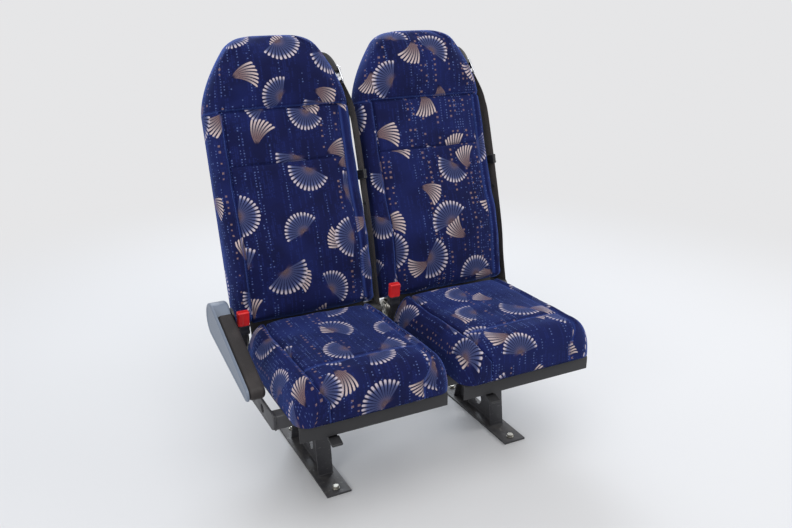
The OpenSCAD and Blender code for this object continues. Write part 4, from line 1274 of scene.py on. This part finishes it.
BUCKLE_FOOT_Y = 0.070
BUCKLE_FOOT_Z = 0.424
BUCKLE_BODY = (0.036, 0.022, 0.028)
BUTTON_SIZE = (0.034, 0.020, 0.042)
BUTTON_SLOT = (0.026, 0.0032, 0.0012)
BUTTON_RIB = 0.9 * MM
FOOT_EDGE = 1.6 * MM
TOP_EDGE = 3 * MM
# Inset in millimetres and share of the height
BUCKLE_WAIST = ((0, 0.30), (0.7, 0.36), (0.9, 0.5), (0.9, 0.66), (0.7, 0.74), (0, 0.80), (0, 0.95),
                (0.5, 1.0))


def buckle_place(seat):
    """Turns a buckle's own (across, depth, up) into the frame: a turn by its lean, at its node's middle."""
    lean = math.radians(6)
    x = middle_x(f"buckle_{seat}")

    def place(across, depth, up):
        y = BUCKLE_FOOT_Y + depth * math.cos(lean) - up * math.sin(lean)
        z = BUCKLE_FOOT_Z + depth * math.sin(lean) + up * math.cos(lean)
        return x + across, y, z
    return place


def seat_buckle(seat):
    """A buckle: a black housing with a waist and a collar, and a red release button with a slot across its
    top and a soft upright rib on its front and rear, a bell across times an eased window up."""
    place = buckle_place(seat)
    wide, deep, tall = BUCKLE_BODY
    outline = filled(rounded_box(wide, deep, 0.006, 8), 0.0015)
    out = outward(outline)
    rows = [(outline * 0.0, 0.0)]
    rows += [(outline - out * FOOT_EDGE * (1 - math.sin(t)), FOOT_EDGE * (1 - math.cos(t)))
             for t in np.linspace(0, math.pi / 2, 5)]
    rows += [(outline - out * inset * MM, level * tall) for inset, level in BUCKLE_WAIST]
    rows += [(outline * 0.90, tall), (outline * 0.90, tall - 2 * MM), (outline * 0.0, tall - 2 * MM)]
    placed_piece(f"buckle_housing_{seat}", stacked(rows), place, "base", "buckle_black", f"buckle_{seat}")
    wide, deep, high = BUTTON_SIZE
    outline = filled(rounded_box(wide, deep, 0.005, 8), 0.0012)
    out = outward(outline)
    slot = matched(filled(rounded_box(*BUTTON_SLOT, 8), 0.0012), len(outline))
    top = tall + high
    long_side = np.abs(outline[:, 1]) > deep / 2 - 0.1 * MM
    rows = [(outline * 0.0, tall - 1.5 * MM), (outline * 0.93, tall - 1.5 * MM),
            (outline * 0.97, tall + 0.5 * MM)]
    for share in np.linspace(0.04, 0.90, 22):
        window = ease((share - 0.08) / 0.08) * ease((0.86 - share) / 0.08)
        rib = BUTTON_RIB * bell(outline[:, 0] / (2.2 * MM)) * window * long_side
        rows.append((outline - out * (BUTTON_RIB * window * long_side - rib)[:, None], tall + high * share))
    rows += [(outline - out * TOP_EDGE * (1 - math.cos(t)), top - TOP_EDGE * (1 - math.sin(t)))
             for t in np.linspace(0, math.pi / 2, 6)]
    rows += [(slot * 1.06, top), (slot, top - 0.6 * MM), (slot, top - 12 * MM), (slot * 0.0, top - 12 * MM)]
    placed_piece(f"release_button_{seat}", stacked(rows), place, "base", "red_button",
                 f"buckle_button_{seat}")


STALK_ROUTE = np.array([(0.108, 0.289), (0.108, 0.306), (0.107, 0.321), (0.092, 0.358), (0.082, 0.378),
                        (0.0745, 0.396), (0.0705, 0.423)])


STALK_SECTION = (0.020, 0.0052, 0.0022)
STALK_FOLD = 0.0052


def buckle_stalk(seat):
    """The sheathed strap that holds a buckle: a flat section carried along its route, with soft folds
    across its upper half, a sine of the way."""
    def folds(run, end):
        size = 0.14 + 0.20 * np.sin(run * 2 * math.pi / STALK_FOLD)
        size = ease((run - 0.050) / 0.012) * ease((0.132 - run) / 0.008) * size
        return 1 + 0.25 * size, 1 + size
    section = rounded_box(*STALK_SECTION, 6)
    waved_strap(f"stalk_sleeve_{seat}", f"buckle_stalk_{seat}", STALK_ROUTE, 0.0011, section, folds,
                f"buckle_stalk_{seat}")


# Armrest

PIVOT_Y, PIVOT_Z = [joint["pos_m"][1:] for joint in frame["joints"] if joint["child"] == "armrest"][0]
ARM_LONG = 0.318
ARM_REAR = 0.050
ARM_TIP = 0.020
ARM_SLOPE = math.radians(15)
ARM_SIDE = 0.007
ARM_DISH = 0.0016
PAD_START = -0.042
CAP_ROUND = 0.009


def on_armrest(a, b, level):
    """Turns (along, up, across) of the armrest into the frame: a turn by its slope about its pivot."""
    y = PIVOT_Y + a * math.cos(ARM_SLOPE) - b * math.sin(ARM_SLOPE)
    z = PIVOT_Z + a * math.sin(ARM_SLOPE) + b * math.cos(ARM_SLOPE)
    return level, y, z


def arm_half_at(a):
    """Half height of the armrest at a along it: the straight line between its two tangent circles."""
    return ARM_REAR + (ARM_TIP - ARM_REAR) * (-a / ARM_LONG)


def armrest():
    """The armrest: a grey side with a rounded rear cap across its width, and a soft pad in front of the
    cap. Both are the same tapered outline, clipped where they meet."""
    low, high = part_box("armrest_shell")
    out_x, in_x = low.x, high.x
    cap_x = out_x + ARM_SIDE
    outline = link((0, 0), ARM_REAR, (-ARM_LONG, 0), ARM_TIP, 40)
    normals = outward(outline)
    clipped = np.column_stack([np.maximum(outline[:, 0], PAD_START), outline[:, 1]])
    rows = [(link((0, 0), rear * MM, (-ARM_LONG, 0), tip * MM, 40), out_x + ARM_DISH)
            for rear, tip in ((0.0, 0.0), (12.0, 0.5), (24.5, 1.2))]
    for inset in (17.5, 15.0, 13.4, 12.4, 11.6, 10.8, 10.0, 9.2, 8.2, 7.0, 6.0):
        dish = ARM_DISH * ease((inset - 8.2) / 4.2)
        rows.append((outline - normals * inset * MM, out_x + dish))
    rows += [(outline - normals * 0.006 * (1 - math.sin(t)), out_x + 0.004 * (1 - math.cos(t)))
             for t in np.linspace(0.12, math.pi / 2, 8)]
    rows += [(outline, cap_x), (clipped, cap_x + 0.0001)]
    for t in np.linspace(0, math.pi / 2, 8):
        drawn = clipped - normals * CAP_ROUND * (1 - math.cos(t))
        drawn[:, 0] = np.maximum(drawn[:, 0], PAD_START)
        rows.append((drawn, in_x - CAP_ROUND * (1 - math.sin(t))))
    last = rows[-1][0]
    heart = np.array([PAD_START / 3, 0.0])
    rows += [(heart + (last - heart) * share, in_x) for share in (0.6, 0.3, 0.0)]
    placed_piece("armrest_side", stacked(rows), on_armrest, "armrest", "armrest_grey", "armrest_shell")
    soft = link((0, 0), ARM_REAR - 0.001, (-ARM_LONG, 0), ARM_TIP - 0.001, 60)
    top = arm_half_at(PAD_START) - 0.001
    soft = np.column_stack([np.minimum(soft[:, 0], PAD_START - 0.0006), np.clip(soft[:, 1], -top, top)])
    soft = soft[np.abs(np.diff(soft, axis=0, append=soft[:1])).sum(1) > 1e-5]
    block = slab(soft, cap_x + 0.0004, in_x, 0.011, steps=9, rings=8)
    pad = placed_piece("armrest_cushion", block, on_armrest, "armrest", "armrest_pad", "armrest_pad")


# Metal and moulded parts that keep their node's shape, with broken edges

# Faces flatter than the first turn are one, and edges sharper than the second are rounded
FLAT_WITHIN = math.radians(0.7)
ROUND_FROM = math.radians(32)


def softened(node, name, width, body, slot):
    """A copy of a node whose triangles are merged back into faces, with every edge rounded by width."""
    mesh = frame["nodes"][node].data.copy()
    mesh.name = name
    work = bmesh.new()
    work.from_mesh(mesh)
    bmesh.ops.remove_doubles(work, verts=work.verts, dist=1e-6)
    bmesh.ops.dissolve_limit(work, angle_limit=FLAT_WITHIN, verts=work.verts, edges=work.edges)
    work.to_mesh(mesh)
    work.free()
    mesh.polygons.foreach_set("use_smooth", np.ones(len(mesh.polygons), bool))
    piece = linked(name, mesh)
    bevel = piece.modifiers.new("edges", "BEVEL")
    bevel.width = width
    bevel.segments = 2
    bevel.limit_method = "ANGLE"
    bevel.angle_limit = ROUND_FROM
    bevel.harden_normals = True
    finished(piece, body, slot, node)


# Node name's start: new name's start and edge radius
SOFTENED = {
    "pedestal": ("leg", 0.8 * MM),
    "front_tube": ("front_rail", 1.0 * MM), "rear_tube": ("rear_rail", 1.0 * MM),
    "side_plate": ("hinge_plate", 0.8 * MM), "pan": ("cushion_tray", 0.8 * MM),
    "recliner": ("recline_hub", 0.9 * MM), "lever": ("recline_lever", 1.2 * MM),
    "armrest_bracket": ("armrest_carrier", 1.0 * MM), "back_frame": ("back_arms", 0.8 * MM),
    "belt_ring": ("belt_loop", 1.6 * MM), "belt_cover": ("hinge_cover", 2.5 * MM),
}


def dress_nodes():
    """Gives every node its finish, and swaps the rigid ones for copies with rounded edges."""
    body_of = {n: b for b, names in frame["record"]["behaviour"]["bodies"].items() for n in names}
    for part in frame["record"]["subparts"]:
        name, slot = part["node"], part["material_slot"]
        node = frame["nodes"][name]
        node.data.materials.clear()
        node.data.materials.append(FINISHES[slot])
        for start, (new_start, width) in SOFTENED.items():
            if name.startswith(start):
                softened(name, new_start + name[len(start):], width, body_of[name], slot)


# Floor bolts, welds, plugs and grips

FOOT_T = 0.006
LEG_HALF = 0.023
FLANGE_Y = (-0.1045, 0.1285)
WEB_Y = (-0.098, 0.122)
WASHER_R = 0.0112
WASHER_HIGH = 0.002
BOLT_FLATS = 0.017
BOLT_TOP = 0.0084
TUBE_HALF = 0.020
TUBE_ROUND = 0.005
TUBE_Y = {"front": -0.230, "rear": 0.130}
TUBE_Z = 0.305
WELD_R = 2.4 * MM
WELD_STEP = 0.9 * MM


def floor_bolts():
    """Four floor bolts: a hexagon head on a washer, each turned its own way."""
    mount = frame["record"]["mounts"][0]
    half_x, half_y = [mount["dims"][f"spacing_{axis}_mm"] * MM / 2 for axis in "xy"]
    blocks = {"washer": slab(arc((0, 0), WASHER_R, 0, 345, 24), 0, WASHER_HIGH, 0.5 * MM),
              "bolt_head": slab(hex_outline(BOLT_FLATS), WASHER_HIGH, BOLT_TOP, 1.0 * MM)}
    for number, (u, v) in enumerate([(-1, -1), (-1, 1), (1, -1), (1, 1)]):
        turn = 0.4 + 1.1 * number

        def place(a, b, level):
            return (u * half_x + a * math.cos(turn) - b * math.sin(turn),
                    v * half_y + a * math.sin(turn) + b * math.cos(turn), FOOT_T + level)
        for name, block in blocks.items():
            placed_piece(f"{name}_{number}", block, place, "base", "zinc_steel")


def line(start, stop):
    """Points on a straight line, as close as a weld bead's ripples need."""
    start, stop = np.asarray(start, float), np.asarray(stop, float)
    count = max(3, int(np.linalg.norm(stop - start) / WELD_STEP))
    return start + (stop - start) * np.linspace(0, 1, count)[:, None]


def welds():
    """Weld beads: the legs' flanges and webs on their foot plates, their heads under the tubes, and the
    tubes' ends on the armrest's bracket."""
    beads = []
    for leg in ("pedestal_aisle", "pedestal_wall"):
        x = middle_x(leg)
        for y in FLANGE_Y:
            beads.append(weld_bead(line((x - LEG_HALF, y, FOOT_T), (x + LEG_HALF, y, FOOT_T)), WELD_R, UP))
        for side in (-1, 1):
            web_x, edge_x = x + side * 2 * MM, x + side * LEG_HALF
            web = line(*((web_x, y, FOOT_T) for y in WEB_Y))
            beads.append(weld_bead(web, 2.2 * MM, UP))
            for y in TUBE_Y.values():
                start = (edge_x, y - TUBE_HALF + 4 * MM, TUBE_Z - TUBE_HALF)
                stop = (edge_x, y + TUBE_HALF - 4 * MM, TUBE_Z - TUBE_HALF)
                beads.append(weld_bead(line(start, stop), WELD_R, UP))
    end_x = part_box("armrest_bracket")[1].x
    for y in TUBE_Y.values():
        around = filled(rounded_box(2 * TUBE_HALF, 2 * TUBE_HALF, TUBE_ROUND, 6), WELD_STEP)
        path = np.column_stack([np.full(len(around), end_x), around[:, 0] + y, around[:, 1] + TUBE_Z])
        ring = weld_bead(path, WELD_R, ACROSS, closed=True)
        beads.append(np.concatenate([ring, ring[:1]]))
    joined("frame_welds", beads, "base", "frame_paint")


def tube_plugs():
    """Moulded plugs in the tubes' open ends at the wall: a rounded square with a low dome."""
    for name, y in TUBE_Y.items():
        end_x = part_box(f"{name}_tube")[1].x
        outline = filled(rounded_box(2 * TUBE_HALF - MM, 2 * TUBE_HALF - MM, TUBE_ROUND, 6), 0.004)
        block = slab(outline, -1.0 * MM, 2.6 * MM, 1.1 * MM, crown=0.8 * MM)
        placed_piece(f"tube_plug_{name}", block, lambda a, b, level: (end_x + level, y + a, TUBE_Z + b),
                     "base", "black_trim")


LEVER_GRIP = np.array([(-0.3215, 0.2697), (-0.3275, 0.2692), (-0.3400, 0.2651), (-0.3516, 0.2612)])


GRIP_SECTION = (0.0315, 0.0085, 0.0040)
GRIP_WAVE = 0.0042


def lever_grip(seat):
    """The moulded grip on a release lever: a flat rounded section carried along the lever's end, waved by a
    sine of the way, with both ends drawn in as quarter circles."""
    def waves(run, end):
        ends = end_share(end, 0.0035, 0.2)
        wave = 0.07 * (0.5 + 0.5 * np.cos(run * 2 * math.pi / GRIP_WAVE)) * ease((end - 0.003) / 0.002)
        return 0.88 + 0.12 * ends, ends * (1 - wave)
    section = filled(rounded_box(*GRIP_SECTION, 8), 0.002)
    waved_strap(f"lever_grip_{seat}", f"lever_{seat}", LEVER_GRIP, 0.0008, section, waves)


for seat_name in SEATS:
    rear_shell(seat_name)
    shell_screws(seat_name)
    closing_board(seat_name)
    rear_pocket(seat_name)
    buckle_stalk(seat_name)
    lever_grip(seat_name)
    belt_webbing(seat_name)
    belt_arch(seat_name)
    belt_latch(seat_name)
    seat_buckle(seat_name)
armrest()
dress_nodes()
floor_bolts()
welds()
tube_plugs()


# Stage, light and camera

PALE = (0.79, 0.79, 0.80, 1.0)
FLOOR_SHADE = colour(222, 222, 223)
ROOM_LIGHT = (0.86, 0.87, 0.89, 1)
ROOM_STRENGTH = 0.52
PLAIN_RAYS = ("Is Camera Ray", "Is Glossy Ray", "Is Transmission Ray")
# Name, place, what it lights, width in metres, power in watts and tint
LAMPS = (
    ("lamp_top", (-0.8, -1.6, 4.2), (0, 0, 0.5), 3.6, 84, (1.0, 1.0, 1.0)),
    ("lamp_left", (-4.2, -2.6, 2.2), (0, 0, 0.7), 2.4, 66, (1.0, 1.0, 1.0)),
    ("lamp_right", (4.2, -0.8, 2.4), (0, 0.1, 0.7), 2.2, 56, (1.0, 1.0, 1.0)),
    ("lamp_behind", (1.2, 3.6, 3.4), (0, 0.2, 0.9), 2.6, 124, (0.86, 0.92, 1.0)),
)


def seen_share(tree):
    """1 for a ray that shows the background as it is: from the camera, a gloss or glass. Otherwise 0."""
    rays = tree.nodes.new("ShaderNodeLightPath")
    share = rays.outputs[PLAIN_RAYS[0]]
    for name in PLAIN_RAYS[1:]:
        larger = tree.nodes.new("ShaderNodeMath")
        larger.operation = "MAXIMUM"
        tree.links.new(share, larger.inputs[0])
        tree.links.new(rays.outputs[name], larger.inputs[1])
        share = larger.outputs[0]
    return share


def stage_floor():
    """A plain pale floor, a disc: matt near the seat, where it holds the shadow, and turning into the plain
    shade of the background further out."""
    radius = np.array([0.001, 1.0, 2.0, 3.0, 4.0, 6.0, 9.0, 14.0])[:, None]
    turn = np.radians(np.arange(0, 360, 5))[None, :]
    rows = np.stack(np.broadcast_arrays(radius * np.cos(turn), radius * np.sin(turn), 0.0), -1)
    floor = new_piece("floor", rows, grid_faces(*rows.shape[:2]), closed=False)
    f = Finish("floor_paint", Base_Color=FLOOR_SHADE, Roughness=0.9, Specular_IOR_Level=0.1)
    x, y, _ = f.parts(f.place())
    far = f.math("SQRT", x * x + y * y)
    plain = f.node("ShaderNodeEmission", None, {"Color": PALE, "Strength": 1.0})
    share = f.step(far, 1.3, 3.2) * Signal(f, seen_share(f.tree))
    both = f.node("ShaderNodeMixShader", None, {0: share, 1: Signal(f, f.shader.outputs[0]), 2: plain})
    f.feed(f.output.inputs["Surface"], both)
    floor.data.materials.append(f.material)


def area_lamp(name, place, aim, width, power, tint):
    """A soft square lamp at a place, turned to what it lights."""
    data = bpy.data.lights.new(name, "AREA")
    data.shape = "SQUARE"
    data.size = width
    data.energy = power
    data.color = tint
    aim_at(linked(name, data), place, aim)


def aim_at(thing, place, aim):
    """Sets a lamp or camera at a place and turns it to look at a point."""
    thing.location = Vector(place)
    look = Vector(aim) - Vector(place)
    thing.rotation_euler = look.to_track_quat("-Z", "Y").to_euler()


def studio():
    """Soft light from above and both sides, with a cool light behind the seat for its top edges."""
    for lamp in LAMPS:
        area_lamp(*lamp)
    world = bpy.data.worlds.new("studio")
    world.use_nodes = True
    tree = world.node_tree
    light = tree.nodes["Background"]
    light.inputs["Color"].default_value = ROOM_LIGHT
    light.inputs["Strength"].default_value = ROOM_STRENGTH
    plain = tree.nodes.new("ShaderNodeBackground")
    plain.inputs["Color"].default_value = PALE
    both = tree.nodes.new("ShaderNodeMixShader")
    tree.links.new(seen_share(tree), both.inputs[0])
    tree.links.new(light.outputs[0], both.inputs[1])
    tree.links.new(plain.outputs[0], both.inputs[2])
    tree.links.new(both.outputs[0], tree.nodes["World Output"].inputs["Surface"])
    bpy.context.scene.world = world


CAMERA_TURN = math.radians(-27)
CAMERA_RISE = math.radians(20)
CAMERA_FAR = 2.40
CAMERA_AIM = (0.0, 0.03, 0.57)
# The photograph's width and its lens, in pixels
PHOTO_WIDE = 792
PHOTO_LENS = 800


def photo_camera():
    """The photograph's angle: from the aisle, a little above the seat's top, looking at its front."""
    data = bpy.data.cameras.new("camera")
    data.sensor_width = 36.0
    data.lens = data.sensor_width * PHOTO_LENS / PHOTO_WIDE
    camera = linked("camera", data)
    flat, up = CAMERA_FAR * math.cos(CAMERA_RISE), CAMERA_FAR * math.sin(CAMERA_RISE)
    offset = (flat * math.sin(CAMERA_TURN), -flat * math.cos(CAMERA_TURN), up)
    aim_at(camera, [a + b for a, b in zip(CAMERA_AIM, offset)], CAMERA_AIM)
    bpy.context.scene.camera = camera


stage_floor()
studio()
photo_camera()
bpy.context.scene.view_settings.view_transform = "Standard"
